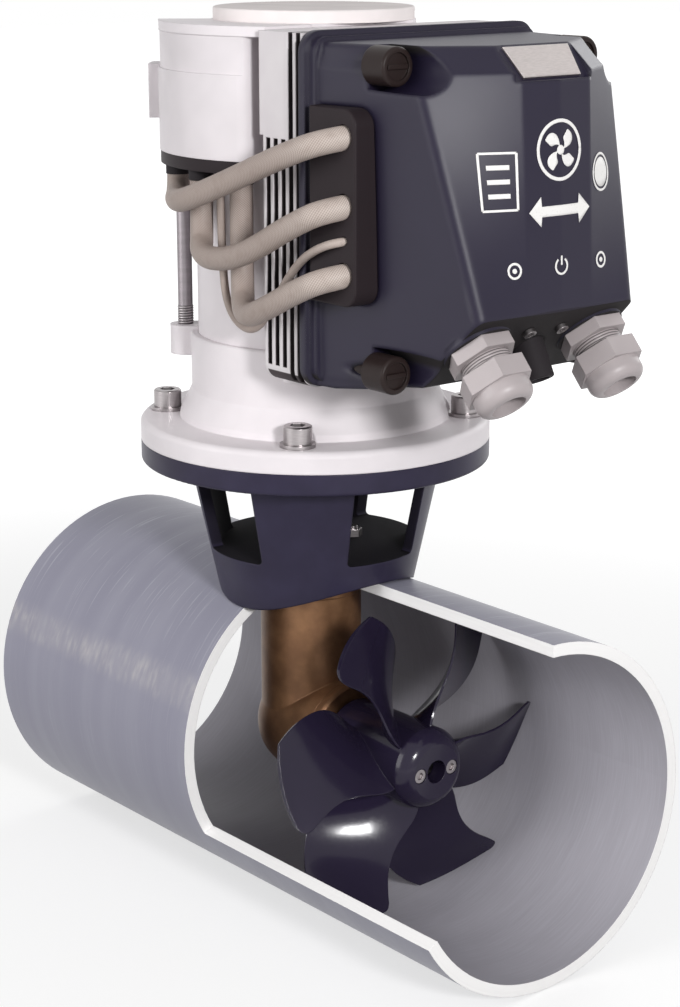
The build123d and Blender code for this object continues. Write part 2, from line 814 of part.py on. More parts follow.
with BuildPart() as blade:
    for height, thick, base_x in zip(blade_heights, blade_thick, blade_rake):
        lead_deg, lead_y = blade_point(height, 0)
        trail_deg, trail_y = blade_point(height, 1)
        lead = Vector(base_x + blade_mm_per_deg * (lead_deg - blade_lean_deg), lead_y)
        trail = Vector(base_x + blade_mm_per_deg * (trail_deg - blade_lean_deg), trail_y)
        along = (lead - trail).normalized()
        across = Vector(-along.Y, along.X)
        middle = trail + (lead - trail) * 0.55
        camber = -0.035 * (lead - trail).length
        edge = across * (blade_edge_thick / 2)
        with BuildSketch(Plane.XY.offset(height)):
            with BuildLine():
                ThreePointArc(trail + edge, middle + across * (camber + thick / 2), lead + edge)
                Line(lead + edge, lead - edge)
                ThreePointArc(lead - edge, middle + across * (camber - thick / 2), trail - edge)
                Line(trail - edge, trail + edge)
            make_face()
    loft()
    # The outline seen along the shaft, a little wider than the blade except at its rounded tips
    lead_tip, trail_tip = blade_edge_deg(blade_tip_r)
    lead_tip += blade_lean_deg + tip_spare_deg
    trail_tip += blade_lean_deg - tip_spare_deg
    with BuildSketch(Plane.YZ) as outline:
        with BuildLine():
            tip = CenterArc((0, 0), blade_tip_r, 90 + trail_tip, lead_tip - trail_tip)
            trail_side = PolarLine(tip @ 0, tip_side_long, 270 + trail_tip + trail_side_deg)
            lead_side = PolarLine(tip @ 1, tip_side_long, 270 + lead_tip + lead_side_deg)
            Polyline(trail_side @ 1, (blade_tip_r, 0), (-blade_tip_r, 0), lead_side @ 1)
        make_face()
        tips = outline.vertices().sort_by(Axis.Y)[-2:].sort_by(Axis.X)
        fillet(tips[0], lead_tip_round)
        fillet(tips[1], trail_tip_round)
    extrude(amount=2 * hub_nose_x, mode=Mode.INTERSECT)

hub_wall_x = hub_seat_x + hub_wall
screw_spots = [(hub_screw_pitch / 2, 0), (-hub_screw_pitch / 2, 0)]
screw_seat_x = hub_nose_x - hub_screw_sunk - hub_screw_head_high
with BuildPart() as propeller:
    with BuildSketch(Plane.XZ):
        with BuildLine():
            Polyline(
                (hub_nose_x, hub_nose_flat_r),
                (hub_nose_x, hub_recess_r),
                (hub_wall_x, hub_recess_r),
                (hub_wall_x, hub_bolt_r + seat),
                (hub_seat_x, hub_bolt_r + seat),
                (hub_seat_x, prop_shaft_r + slip),
                (hub_back_x, prop_shaft_r + slip),
                (hub_back_x, hub_r),
                (hub_shoulder_x, hub_r),
            )
            RadiusArc((hub_shoulder_x, hub_r), (hub_nose_x, hub_nose_flat_r), hub_nose_round)
        make_face()
    revolve(axis=Axis.X)
    first_deg = blade_front_deg - blade_lean_deg - 90
    turns = [first_deg + 360 * k / blade_count for k in range(blade_count)]
    with Locations(*[Location((0, 0, 0), (turn, 0, 0)) for turn in turns]):
        add(blade.part)
    drum_x(hub_back_x, hub_seat_x, prop_shaft_r + slip, mode=Mode.SUBTRACT)
    screw_end_x = screw_seat_x - hub_screw_long
    drum_x(screw_end_x, hub_nose_x, hub_screw_r + 0.02, spots=screw_spots, mode=Mode.SUBTRACT)
    drum_x(screw_seat_x, hub_nose_x, hub_screw_head_r + 0.2, spots=screw_spots, mode=Mode.SUBTRACT)
save(propeller, "propeller")

# Bolt that holds the propeller on its shaft, at the bottom of the hub's recess
with BuildPart() as hub_bolt:
    drum_x(hub_bolt_low, hub_wall_x, hub_bolt_r)
    drum_x(hub_wall_x, hub_wall_x + hub_bolt_head_high, hub_bolt_head_r)
    with BuildSketch(Plane.YZ.offset(hub_wall_x + hub_bolt_head_high)):
        RegularPolygon(hub_bolt_key_flats / 2, 6, major_radius=False)
    extrude(amount=-hub_bolt_key_deep, mode=Mode.SUBTRACT)
save(hub_bolt, "hub_bolt")

with BuildPart() as hub_screws:
    drum_x(screw_end_x + seat, screw_seat_x, hub_screw_r, spots=screw_spots)
    drum_x(screw_seat_x, screw_seat_x + hub_screw_head_high, hub_screw_head_r, spots=screw_spots)
    with BuildSketch(Plane.YZ.offset(screw_seat_x + hub_screw_head_high)):
        with Locations(*screw_spots):
            RegularPolygon(hub_screw_key_flats / 2, 6, major_radius=False)
    extrude(amount=-hub_screw_key_deep, mode=Mode.SUBTRACT)
save(hub_screws, "hub_screws")

# Motor: the lower end bell carries the flange, the skirt and the lugs of the tie rods
tie_deg = (45, 135, 225, 315)
tie_spots = [(tie_rod_circle_r * cos(radians(a)), tie_rod_circle_r * sin(radians(a))) for a in tie_deg]
bolt_spots = [
    (flange_bolt_circle_r * cos(radians(a)), flange_bolt_circle_r * sin(radians(a)))
    for a in tie_deg
]
yoke_low = skirt_top - 8.0
with BuildPart() as motor_flange:
    with BuildSketch(Plane.XY.offset(bracket_flange_top)):
        Circle(flange_r)
    extrude(amount=motor_flange_top - bracket_flange_top)
    fillet(motor_flange.edges().group_by(Axis.Z)[-1], 3.5)
    turn_z(
        (0, motor_flange_top - 1.0),
        (flare_r, motor_flange_top - 1.0),
        (flare_r - 1.0, motor_flange_top + 4.0),
        (skirt_r, flare_top),
        (skirt_r, skirt_top - 1.0),
        (skirt_r - 1.0, skirt_top),
        (0, skirt_top),
    )
    with BuildSketch(Plane.XY.offset(lug_low)):
        for angle in tie_deg:
            with Locations(Location((0, 0, 0), (0, 0, angle))):
                with Locations((tie_rod_circle_r, 0)):
                    Circle(lug_wide / 2 - 1.0)
                with Locations(((tie_rod_circle_r + lug_root_r) / 2, 0)):
                    Rectangle(tie_rod_circle_r - lug_root_r, lug_wide - 2.0)
    extrude(amount=lug_top - lug_low)
    drum_z(
        motor_flange_top,
        flare_top + 8.0,
        bolt_pocket_r,
        spots=bolt_spots,
        mode=Mode.SUBTRACT,
    )
    drum_z(yoke_low, lug_top, yoke_r + seat, mode=Mode.SUBTRACT)
    drum_z(motor_room_low, skirt_top, yoke_r - yoke_wall, mode=Mode.SUBTRACT)
    drum_z(lower_bearing_z, motor_room_low, motor_bearing_r + slip, mode=Mode.SUBTRACT)
    drum_z(bracket_flange_top, lower_bearing_z, motor_shaft_r + 3.0, mode=Mode.SUBTRACT)
    drum_z(
        bracket_flange_top,
        motor_flange_top,
        flange_bolt_r + seat,
        spots=bolt_spots,
        mode=Mode.SUBTRACT,
    )
    drum_z(lug_low + 3.0, lug_top, tie_rod_r + slip, spots=tie_spots, mode=Mode.SUBTRACT)
save(motor_flange, "motor_flange")

with BuildPart() as flange_washers:
    washer_top = motor_flange_top + flange_washer_thick
    drum_z(motor_flange_top, washer_top, flange_washer_r, flange_bolt_r + 0.3, spots=bolt_spots)
save(flange_washers, "flange_washers")

with BuildPart() as flange_bolts:
    bolt_low = bracket_flange_top - flange_bolt_deep + seat
    drum_z(bolt_low, washer_top, flange_bolt_r, spots=bolt_spots)
    with BuildSketch(Plane.XY.offset(washer_top)):
        with Locations(*bolt_spots):
            Circle(flange_bolt_head_r)
    extrude(amount=flange_bolt_head_high)
    chamfer(flange_bolts.edges().group_by(Axis.Z)[-1], 0.8)
    with BuildSketch(Plane.XY.offset(washer_top + flange_bolt_head_high)):
        with Locations(*bolt_spots):
            RegularPolygon(flange_bolt_key_flats / 2, 6, major_radius=False)
    extrude(amount=-flange_bolt_key_deep, mode=Mode.SUBTRACT)
save(flange_bolts, "flange_bolts")

with BuildPart() as motor_housing:
    drum_z(yoke_low, yoke_top, yoke_r, yoke_r - yoke_wall)
save(motor_housing, "motor_housing")

with BuildPart() as motor_bearings:
    bearing_z(
        lower_bearing_z,
        lower_bearing_z + motor_bearing_high,
        motor_bearing_r,
        motor_shaft_r + slip,
    )
    bearing_z(
        upper_bearing_z,
        upper_bearing_z + motor_bearing_high,
        motor_bearing_r,
        motor_shaft_r + slip,
    )
save(motor_bearings, "motor_bearings")

magnet_r = yoke_r - yoke_wall - slip
with BuildPart() as field_magnets:
    for middle in (0, 90, 180, 270):
        from_deg, to_deg = middle - magnet_half_deg, middle + magnet_half_deg
        sector_z(magnet_low, magnet_top, magnet_r, magnet_r - magnet_thick, from_deg, to_deg)
save(field_magnets, "field_magnets")

brush_mid = (brush_box_low + brush_box_top) / 2
brush_box_start = commutator_r + brush_box_wall + 1.0
with BuildPart() as brush_ring:
    drum_z(brush_box_top, brush_box_top + brush_ring_thick, magnet_r, commutator_r + 3.0)
    with BuildSketch(Plane.XY.offset(brush_box_low)):
        for angle in (45, 135, 225, 315):
            with Locations(Location((0, 0, 0), (0, 0, angle))):
                with Locations((brush_box_start + brush_box_long / 2, 0)):
                    Rectangle(brush_box_long, brush_size + 2 * brush_box_wall)
    extrude(amount=brush_box_top - brush_box_low)
    for angle in (45, 135, 225, 315):
        with Locations(Location((0, 0, brush_mid), (0, 0, angle))):
            with Locations((brush_box_start + brush_box_long / 2, 0)):
                way = brush_size + 0.3
                Box(2 * brush_box_long, way, way, mode=Mode.SUBTRACT)
save(brush_ring, "brush_ring")

with BuildPart() as brushes:
    with BuildSketch(Plane.XY.offset(brush_mid - brush_size / 2)):
        for angle in (45, 135, 225, 315):
            with Locations(Location((0, 0, 0), (0, 0, angle))):
                with Locations((commutator_r + brush_long / 2, 0)):
                    Rectangle(brush_long, brush_size)
        Circle(commutator_r + air, mode=Mode.SUBTRACT)
    extrude(amount=brush_size)
save(brushes, "brushes")

# Turning parts of the motor
with BuildPart() as armature:
    with BuildSketch(Plane.XY.offset(armature_low)):
        Circle(armature_r)
        Circle(motor_shaft_r + slip, mode=Mode.SUBTRACT)
        for k in range(armature_slots):
            with Locations(Location((0, 0, 0), (0, 0, 360 * k / armature_slots))):
                with Locations((armature_r, 0)):
                    Rectangle(*armature_slot_size, mode=Mode.SUBTRACT)
    extrude(amount=armature_top - armature_low)
    winding_r = armature_r - winding_deep
    drum_z(armature_low - winding_low_high, armature_low, winding_r, motor_shaft_r + 3.0)
    drum_z(armature_top, armature_top + winding_top_high, winding_r, motor_shaft_r + 3.0)
save(armature, "armature")

with BuildPart() as commutator:
    with BuildSketch(Plane.XY.offset(commutator_low)):
        Circle(commutator_r)
        Circle(motor_shaft_r + slip, mode=Mode.SUBTRACT)
        for k in range(commutator_bars):
            with Locations(Location((0, 0, 0), (0, 0, 360 * k / commutator_bars))):
                with Locations((commutator_r, 0)):
                    Rectangle(*commutator_slot_size, mode=Mode.SUBTRACT)
    extrude(amount=commutator_top - commutator_low)
save(commutator, "commutator")

spider_low = (coupling_low + coupling_top - spider_high) / 2
spider_top = spider_low + spider_high
with BuildPart() as motor_shaft:
    turn_z(
        (0, spider_top),
        (motor_shaft_r - 0.8, spider_top),
        (motor_shaft_r, spider_top + 0.8),
        (motor_shaft_r, upper_bearing_z + motor_bearing_high),
        (motor_shaft_r - 1.0, upper_bearing_z + motor_bearing_high + 1.0),
        (0, upper_bearing_z + motor_bearing_high + 1.0),
    )
save(motor_shaft, "motor_shaft")

# Jaw coupling: two hubs whose claws share a soft star
claw_deg = 44.0
arm_deg = 60.0 - claw_deg
with BuildPart() as coupling_lower:
    drum_z(coupling_low, spider_low, coupling_r, drive_shaft_r + slip)
    for k in range(jaw_count):
        start = 360 * k / jaw_count
        sector_z(spider_low, spider_top - 0.5, coupling_r, claw_in_r, start, start + claw_deg)
save(coupling_lower, "coupling_lower")

with BuildPart() as coupling_upper:
    drum_z(spider_top, coupling_top, coupling_r, motor_shaft_r + slip)
    for k in range(jaw_count):
        start = 360 * k / jaw_count + 60
        sector_z(spider_low + 0.5, spider_top, coupling_r, claw_in_r, start, start + claw_deg)
save(coupling_upper, "coupling_upper")

with BuildPart() as coupling_spider:
    star_low = spider_low + 0.6
    star_top = spider_top - 0.6
    drum_z(star_low, star_top, claw_in_r - 0.2, spider_hole_r)
    for k in range(2 * jaw_count):
        start = 60 * k + claw_deg + 0.5
        sector_z(star_low, star_top, coupling_r - 0.6, claw_in_r - 1.0, start, start + arm_deg - 1.0)
save(coupling_spider, "coupling_spider")

# Top of the motor
with BuildPart() as top_cap:
    drum_z(yoke_top, cap_plate_low, yoke_r, 0)
    with BuildSketch(Plane.XY.offset(cap_plate_low)):
        with BuildLine():
            lid_rim = CenterArc((0, 0), terminal_r - 0.5, terminal_from, lid_to - terminal_from)
            Line((0, 0), lid_rim @ 0)
            Line(lid_rim @ 1, (0, 0))
        make_face()
        Circle(disc_r + 1.0)
    extrude(amount=cap_plate_thick)
    reach = (sink_back_x - sink_shoulder - sink_gap, 2 * terminal_r)
    block(reach, (-terminal_r, terminal_r), (cap_plate_low, cap_plate_top), mode=Mode.SUBTRACT)
    with BuildSketch(Plane.XY.offset(rod_ear_low)):
        for angle in tie_deg[1:3]:
            with Locations(Location((0, 0, 0), (0, 0, angle))):
                with Locations((tie_rod_circle_r, 0)):
                    Circle(rod_ear_r)
                with Locations((tie_rod_circle_r - rod_ear_long / 2, 0)):
                    Rectangle(rod_ear_long, 2 * rod_ear_r)
    extrude(amount=cap_plate_low - rod_ear_low)
    drum_z(yoke_top, upper_bearing_z + motor_bearing_high, motor_bearing_r + slip, mode=Mode.SUBTRACT)
    drum_z(
        upper_bearing_z,
        upper_bearing_z + motor_bearing_high + 3.0,
        motor_shaft_r + 1.0,
        mode=Mode.SUBTRACT,
    )
    drum_z(rod_ear_low, cap_plate_low, tie_rod_r + slip, spots=tie_spots[1:3], mode=Mode.SUBTRACT)
save(top_cap, "top_cap")

with BuildPart() as top_disc:
    with BuildSketch(Plane.XY.offset(cap_plate_top)):
        Circle(disc_r)
    extrude(amount=disc_top - cap_plate_top)
    fillet(top_disc.edges().group_by(Axis.Z)[-1], 1.2)
save(top_disc, "top_disc")

with BuildPart() as tie_rods:
    drum_z(lug_low + 3.0, cap_plate_low, tie_rod_r, spots=tie_spots)
save(tie_rods, "tie_rods")

# Terminal housing: a box bent round the motor, closed from below by a plate
with BuildPart() as terminal_cover:
    sector_z(terminal_low, cap_plate_low, terminal_r, yoke_r + 0.4, terminal_from, terminal_to)
    corner = terminal_cover.edges().filter_by(Axis.Z).sort_by(Axis.X)[-2:].sort_by(Axis.Y)[0]
    fillet(corner, terminal_corner_r)
    with BuildSketch(Plane.XY.offset(terminal_step_z)):
        Circle(2 * terminal_r)
        Circle(terminal_r - terminal_step, mode=Mode.SUBTRACT)
    extrude(amount=cap_plate_low - terminal_step_z, mode=Mode.SUBTRACT)
    tab_to = terminal_from + 1.0
    sector_z(rod_tab_low, rod_tab_top, rod_tab_r, yoke_r + 2.0, rod_tab_from, tab_to)
    sector_z(
        terminal_low,
        cap_plate_low - terminal_wall,
        terminal_r - terminal_wall - terminal_step,
        yoke_r,
        terminal_from + 2.2,
        terminal_to - 2.5,
        mode=Mode.SUBTRACT,
    )
    drum_z(rod_tab_low, rod_tab_top, tie_rod_r + seat, spots=[tie_spots[2]], mode=Mode.SUBTRACT)
save(terminal_cover, "terminal_cover")

terminal_spots = [
    (terminal_stud_circle_r * cos(radians(a)), terminal_stud_circle_r * sin(radians(a)))
    for a in terminal_deg
]
signal_spot = (
    terminal_stud_circle_r * cos(radians(signal_deg)),
    terminal_stud_circle_r * sin(radians(signal_deg)),
)
plate_low = terminal_low - terminal_plate_thick
with BuildPart() as terminal_plate:
    sector_z(plate_low, terminal_low, terminal_r - 0.5, yoke_r + 0.4, terminal_from, terminal_to)
    corner = terminal_plate.edges().filter_by(Axis.Z).sort_by(Axis.X)[-2:].sort_by(Axis.Y)[0]
    fillet(corner, terminal_corner_r - 0.5)
    drum_z(plate_low, terminal_low, terminal_stud_r + seat, spots=terminal_spots, mode=Mode.SUBTRACT)
    drum_z(plate_low, terminal_low, signal_r + seat, spots=[signal_spot], mode=Mode.SUBTRACT)
save(terminal_plate, "terminal_plate")

sleeve_top = plate_low - 0.1
sleeve_low = sleeve_top - lug_sleeve_high
cable_end = sleeve_low + cable_in_sleeve
with BuildPart() as terminal_studs:
    stud_top = terminal_low + terminal_stud_rise
    drum_z(cable_end + 0.5, stud_top, terminal_stud_r, spots=terminal_spots)
    with BuildSketch(Plane.XY.offset(terminal_low)):
        with Locations(*terminal_spots):
            RegularPolygon(terminal_nut_flats / 2, 6, major_radius=False)
    extrude(amount=nut_thick)
save(terminal_studs, "terminal_studs")

with BuildPart() as cable_lugs:
    drum_z(sleeve_low, sleeve_top, lug_sleeve_r, terminal_stud_r + slip, spots=terminal_spots)
    drum_z(sleeve_low, cable_end, cable_r + seat, spots=terminal_spots, mode=Mode.SUBTRACT)
save(cable_lugs, "cable_lugs")


# Cables between the controller and the motor, held all the way by their two ends
def cord_radii(points):
    """Bend radii, each as large as its two runs allow. A run between two bends is shared by them."""
    runs = [Vector(*there) - Vector(*here) for here, there in zip(points, points[1:])]
    rooms = [0.9 * runs[0].length, *(0.45 * run.length for run in runs[1:-1]), 0.9 * runs[-1].length]
    radii = []
    for first, second, before, after in zip(runs, runs[1:], rooms, rooms[1:]):
        turn = radians(first.get_angle(second))
        radii.append(min(before, after) / tan(turn / 2))
    return radii


def cord(points, radius, mode=Mode.ADD):
    """Sweeps a round section along straight runs joined by tangent arcs."""
    with BuildPart(mode=Mode.PRIVATE) as piece:
        with BuildLine():
            route = FilletPolyline(*points, radius=cord_radii(points))
        with BuildSketch(Plane(origin=route @ 0, z_dir=route % 0)):
            Circle(radius)
        sweep()
    add(piece.part, mode=mode)
    return piece.part.volume / (pi * radius**2 * route.length), route.length


def report(label, points, found):
    bends = ", ".join(f"{radius:.1f}" for radius in cord_radii(points))
    print(f"{label}: length {found[1]:.1f}, volume ratio {found[0]:.5f}, bend radii {bends}")


def cord_way(route, spot, turn_up, end_z):
    """A route with its heights made absolute, then straight up on a spot to the end."""
    points = [(x, y, terminal_low + rise) for x, y, rise in route]
    return [*points, (*spot, terminal_low + turn_up), (*spot, end_z)]


power_ways = [
    cord_way(route, spot, turn_up, cable_end)
    for route, spot, turn_up in zip(cable_routes, terminal_spots, cable_turn_up)
]
signal_end = terminal_low + signal_in_housing
signal_way = cord_way(signal_route, signal_spot, signal_turn_up, signal_end)

for number, way in enumerate(power_ways, 1):
    with BuildPart() as power_cable:
        found = cord(way, cable_r)
    report(f"power_cable_{number}", way, found)
    save(power_cable, f"power_cable_{number}")

with BuildPart() as signal_cable:
    found = cord(signal_way, signal_r)
report("signal_cable", signal_way, found)
save(signal_cable, "signal_cable")

# Heat sink: a block that hugs the motor, slotted into fins on both sides
knob_spots = [(y, z) for z in (knob_up_z, knob_low_z) for y in (-knob_y, knob_y)]
pad_rise = board_size[1] / 2 - 8.0
pad_spots = [(y, middle_z + z) for z in (-pad_rise, pad_rise) for y in (-board_pad_y, board_pad_y)]
knob_stem_end = sink_face_x - knob_stem_deep
with BuildPart() as heat_sink:
    wide = (-sink_half_wide, sink_half_wide)
    block((sink_back_x, sink_face_x), wide, (sink_low, sink_top))
    low_corners = heat_sink.edges().filter_by(Axis.X).group_by(Axis.Z)[0]
    fillet(low_corners, sink_corner_r)
    shoulder_x = sink_back_x - sink_shoulder
    block((shoulder_x, sink_face_x), wide, (inner_slot_top + 1.0, sink_top))
    drum_z(sink_low, lug_top + sink_gap, skirt_r + sink_gap, mode=Mode.SUBTRACT)
    drum_z(skirt_top, cap_plate_low + 0.3, yoke_r + sink_gap, mode=Mode.SUBTRACT)
    for k in range(inner_slots + outer_slots):
        inner = k < inner_slots
        middle_x = first_slot_x + k * slot_pitch
        slot_x = (middle_x - slot_wide / 2, middle_x + slot_wide / 2)
        slot_z = (inner_slot_low, inner_slot_top) if inner else (outer_slot_low, sink_top)
        for side in (-1, 1):
            edge = (side * (sink_half_wide - slot_deep), side * sink_half_wide)
            block(slot_x, (min(edge), max(edge)), slot_z, mode=Mode.SUBTRACT)
    for spot in (tie_spots[0], tie_spots[3]):
        drum_z(sink_low, cap_plate_low + 0.3, tie_rod_r + 1.2, spots=[spot], mode=Mode.SUBTRACT)
        drum_z(sink_low, lug_top + sink_gap, lug_wide / 2, spots=[spot], mode=Mode.SUBTRACT)
        side = 1 if spot[1] > 0 else -1
        lane = (side * (abs(spot[1]) - tie_rod_r - 1.2), side * (abs(spot[1]) + tie_rod_r + 1.2))
        block(
            (shoulder_x, spot[0]),
            (min(lane), max(lane)),
            (sink_low, cap_plate_low + 0.3),
            mode=Mode.SUBTRACT,
        )
    drum_x(knob_stem_end, sink_face_x, knob_stem_r + slip, spots=knob_spots, mode=Mode.SUBTRACT)
    drum_x(sink_face_x, sink_face_x + board_pad_high, board_pad_r, spots=pad_spots)
save(heat_sink, "heat_sink")


# Cover: a rim with a sloping hood on it
def hood_outline(front, inset):
    """Half outlines of the hood as (x, y), mirrored into one closed polygon."""
    rear_y, corner, fold, middle_x = front
    half = [
        (cover_back_x - 0.5 * inset, rear_y - inset),
        (corner[0] - 1.2 * inset, corner[1] - inset),
        (fold[0] - 1.2 * inset, fold[1] - 0.3 * inset),
        (middle_x - 1.2 * inset, 0),
    ]
    return half + [(x, -y) for x, y in reversed(half[:3])]


def hood(sections, inset):
    """Adds the solid between the outlines at their heights."""
    faces = []
    for height, *front in sections:
        with BuildSketch(Plane.XY.offset(height)) as outline:
            with BuildLine():
                Polyline(*hood_outline(front, inset), close=True)
            make_face()
        faces.append(outline.sketch)
    loft(faces, ruled=True)


def edges_between(part, low, high, past_x, past_y=0.0):
    """The edges that run from one height to another, beyond a place along X and one along Y."""
    found = []
    for edge in part.edges():
        box = edge.bounding_box()
        level = abs(box.min.Z - low) < 0.1 and abs(box.max.Z - high) < 0.1
        if level and box.max.X > past_x and min(abs(box.min.Y), abs(box.max.Y)) >= past_y:
            found.append(edge)
    return found


def grommet_block(gap, mode=Mode.ADD):
    """The grommet's block with its two rounded front corners, wider by a gap all round."""
    back, front = grommet_x[0] + seat - gap, grommet_x[1] + gap
    low, high = grommet_z[0] - gap, grommet_z[1] + gap
    with BuildSketch(Plane.XZ.offset(-grommet_in_y)) as outline:
        with Locations(((back + front) / 2, (low + high) / 2)):
            Rectangle(front - back, high - low)
        fillet(outline.vertices().group_by(Axis.X)[-1], grommet_corner_r + gap)
    extrude(outline.sketch, amount=grommet_in_y - grommet_out_y, mode=mode)


def badge_prism(behind, half_wide, mode=Mode.SUBTRACT):
    """The room in front of the badge's seat, moved back by a distance."""
    (low_x, low_z), (high_x, high_z) = badge_low, badge_high
    run = hypot(high_x - low_x, high_z - low_z)
    back = Vector(-(high_z - low_z), (high_x - low_x)) / run * behind
    along = Vector(high_x - low_x, high_z - low_z) / run
    start = Vector(low_x, low_z) + back - along * 1.0
    end = Vector(high_x, high_z) + back + along * 8.0
    with BuildSketch(Plane.XZ.offset(-half_wide)) as side:
        with BuildLine():
            Polyline(
                (start.X, start.Y),
                (end.X, end.Y),
                (end.X + 40.0, end.Y),
                (start.X + 40.0, start.Y),
                close=True,
            )
        make_face()
    extrude(side.sketch, amount=2 * half_wide, mode=mode)


slope_dir = Vector(slope_high[0] - slope_low[0], 0, slope_high[1] - slope_low[1]).normalized()
slope_out = Vector(slope_dir.Z, 0, -slope_dir.X)
slope_foot = Vector(slope_low[0], 0, slope_low[1])


def slope_plane(along, y, rise=0.0):
    """A plane on the sloping underside of the hood, its Z pointing out of the cover."""
    origin = slope_foot + slope_dir * along + slope_out * rise + Vector(0, y, 0)
    return Plane(origin, x_dir=(0, 1, 0), z_dir=slope_out)


gland_planes = [slope_plane(gland_up_face, side * gland_y, gland_pad_high) for side in (-1, 1)]
screw_planes = [slope_plane(small_screw_up_face, side * small_screw_y) for side in (-1, 1)]
boot_lean = (0.45, 0, -0.89)
boot_plane = Plane((boot_foot[0], 0, boot_foot[1]), x_dir=(0, 1, 0), z_dir=boot_lean)


def bar_on(planes, low, high, outer, inner=0.0, mode=Mode.ADD):
    """A round bar or ring on each plane, between two heights above it."""
    for plane in planes:
        with BuildSketch(plane.offset(low)) as circle:
            Circle(outer)
            if inner > 0:
                Circle(inner, mode=Mode.SUBTRACT)
        extrude(circle.sketch, amount=high - low, mode=mode)


room_sections = (
    (rim_low + 8.0, cover_sections[1][1], (106.0, 64.0), (106.6, 24.0), 106.8),
    (cover_sections[1][0] + 1.3 * cover_wall, *cover_sections[1][1:]),
    (cover_sections[2][0] + cover_wall, *cover_sections[2][1:]),
    (cover_sections[3][0] - 0.8 * cover_wall, *cover_sections[3][1:]),
    (cover_sections[4][0] - 1.2 * cover_wall, *cover_sections[4][1:]),
)
hood_low, _, chin_z, brow_z, hood_top = [section[0] for section in cover_sections]
with BuildPart() as rounded_hood:
    hood(cover_sections, 0.0)
    fillet(edges_between(rounded_hood, chin_z, brow_z, 1.5 * sink_face_x, knob_y / 2), hood_ridge_round)
    fillet(edges_between(rounded_hood, hood_top, hood_top, 1.1 * sink_face_x), hood_top_round)
    with BuildSketch(Plane.XZ.offset(-rim_half_wide)) as side:
        with BuildLine():
            Polyline(
                (0, hood_low),
                (slope_low[0], hood_low),
                slope_low,
                slope_high,
                (cover_sections[3][4], brow_z),
                (cover_sections[3][4], hood_top),
                (0, hood_top),
                close=True,
            )
        make_face()
        fillet(side.vertices().sort_by(Axis.X)[-1], hood_chin_round)
    extrude(amount=2 * rim_half_wide, mode=Mode.INTERSECT)

with BuildPart() as cover_room:
    hood(room_sections, cover_wall)
    post_r = knob_pocket_r + cover_wall
    drum_x(cover_back_x, 2 * tunnel_near_x, post_r, spots=knob_spots, mode=Mode.SUBTRACT)
    badge_prism(badge_thick + cover_wall, badge_recess_half + cover_wall)

with BuildPart() as controller_cover:
    with BuildSketch(Plane.YZ.offset(cover_back_x)):
        with Locations((0, middle_z)):
            RectangleRounded(2 * rim_half_wide, rim_top - rim_low, rim_corner_r)
    extrude(amount=rim_thick)
    with BuildSketch(Plane.YZ.offset(cover_back_x + rim_thick)):
        with Locations((0, middle_z)):
            RectangleRounded(
                2 * (rim_half_wide - rim_step),
                rim_top - rim_low - 2 * rim_step,
                rim_corner_r - rim_step,
            )
    extrude(amount=rim_step_thick)
    add(rounded_hood.part)
    bar_on(gland_planes, -gland_pad_high - 3.0, 0, gland_pad_r)
    badge_prism(badge_thick, badge_recess_half)
    drum_x(knob_floor_x, 2 * tunnel_near_x, knob_pocket_r, spots=knob_spots, mode=Mode.SUBTRACT)
    add(cover_room.part, mode=Mode.SUBTRACT)
    drum_x(cover_back_x, knob_floor_x, knob_stem_r + slip, spots=knob_spots, mode=Mode.SUBTRACT)
    bar_on(gland_planes, -12.0, 0, gland_thread_r + slip, mode=Mode.SUBTRACT)
    bar_on(screw_planes, -small_screw_deep - 1.0, 0, small_screw_core_r + slip, mode=Mode.SUBTRACT)
    bar_on([boot_plane], -12.0, 6.0, boot_r + seat, mode=Mode.SUBTRACT)
    grommet_block(seat, mode=Mode.SUBTRACT)
save(controller_cover, "controller_cover")

with BuildPart() as cover_gasket:
    with BuildSketch(Plane.YZ.offset(sink_face_x + 0.05)):
        with Locations((0, middle_z)):
            gasket_wide = 2 * rim_half_wide - gasket_inset
            gasket_high = rim_top - rim_low - gasket_inset
            RectangleRounded(gasket_wide, gasket_high, rim_corner_r - gasket_inset / 2)
            RectangleRounded(
                gasket_wide - 2 * gasket_band,
                gasket_high - 2 * gasket_band,
                gasket_hole_corner,
                mode=Mode.SUBTRACT,
            )
        with Locations(*knob_spots):
            Circle(knob_stem_r + 5.0)
            Circle(knob_stem_r + 0.5, mode=Mode.SUBTRACT)
    extrude(amount=cover_gasket_thick - 0.1)
save(cover_gasket, "cover_gasket")

with BuildPart() as badge_plate:
    (low_x, low_z), (high_x, high_z) = badge_low, badge_high
    badge_dir = Vector(high_x - low_x, 0, high_z - low_z)
    badge_out = Vector(badge_dir.Z, 0, -badge_dir.X).normalized()
    seat_origin = Vector(low_x, 0, low_z) - badge_out * (badge_thick - 0.05)
    with BuildSketch(Plane(seat_origin, x_dir=(0, 1, 0), z_dir=badge_out)):
        high = badge_dir.length
        with BuildLine():
            Polyline(
                (-badge_half_low, 0),
                (badge_half_low, 0),
                (badge_half_high, high),
                (-badge_half_high, high),
                close=True,
            )
        make_face()
    extrude(amount=badge_thick)
    chamfer(badge_plate.faces().sort_by(Axis((0, 0, 0), (badge_out.X, 0, badge_out.Z)))[-1].edges(), 0.5)
save(badge_plate, "badge_plate")

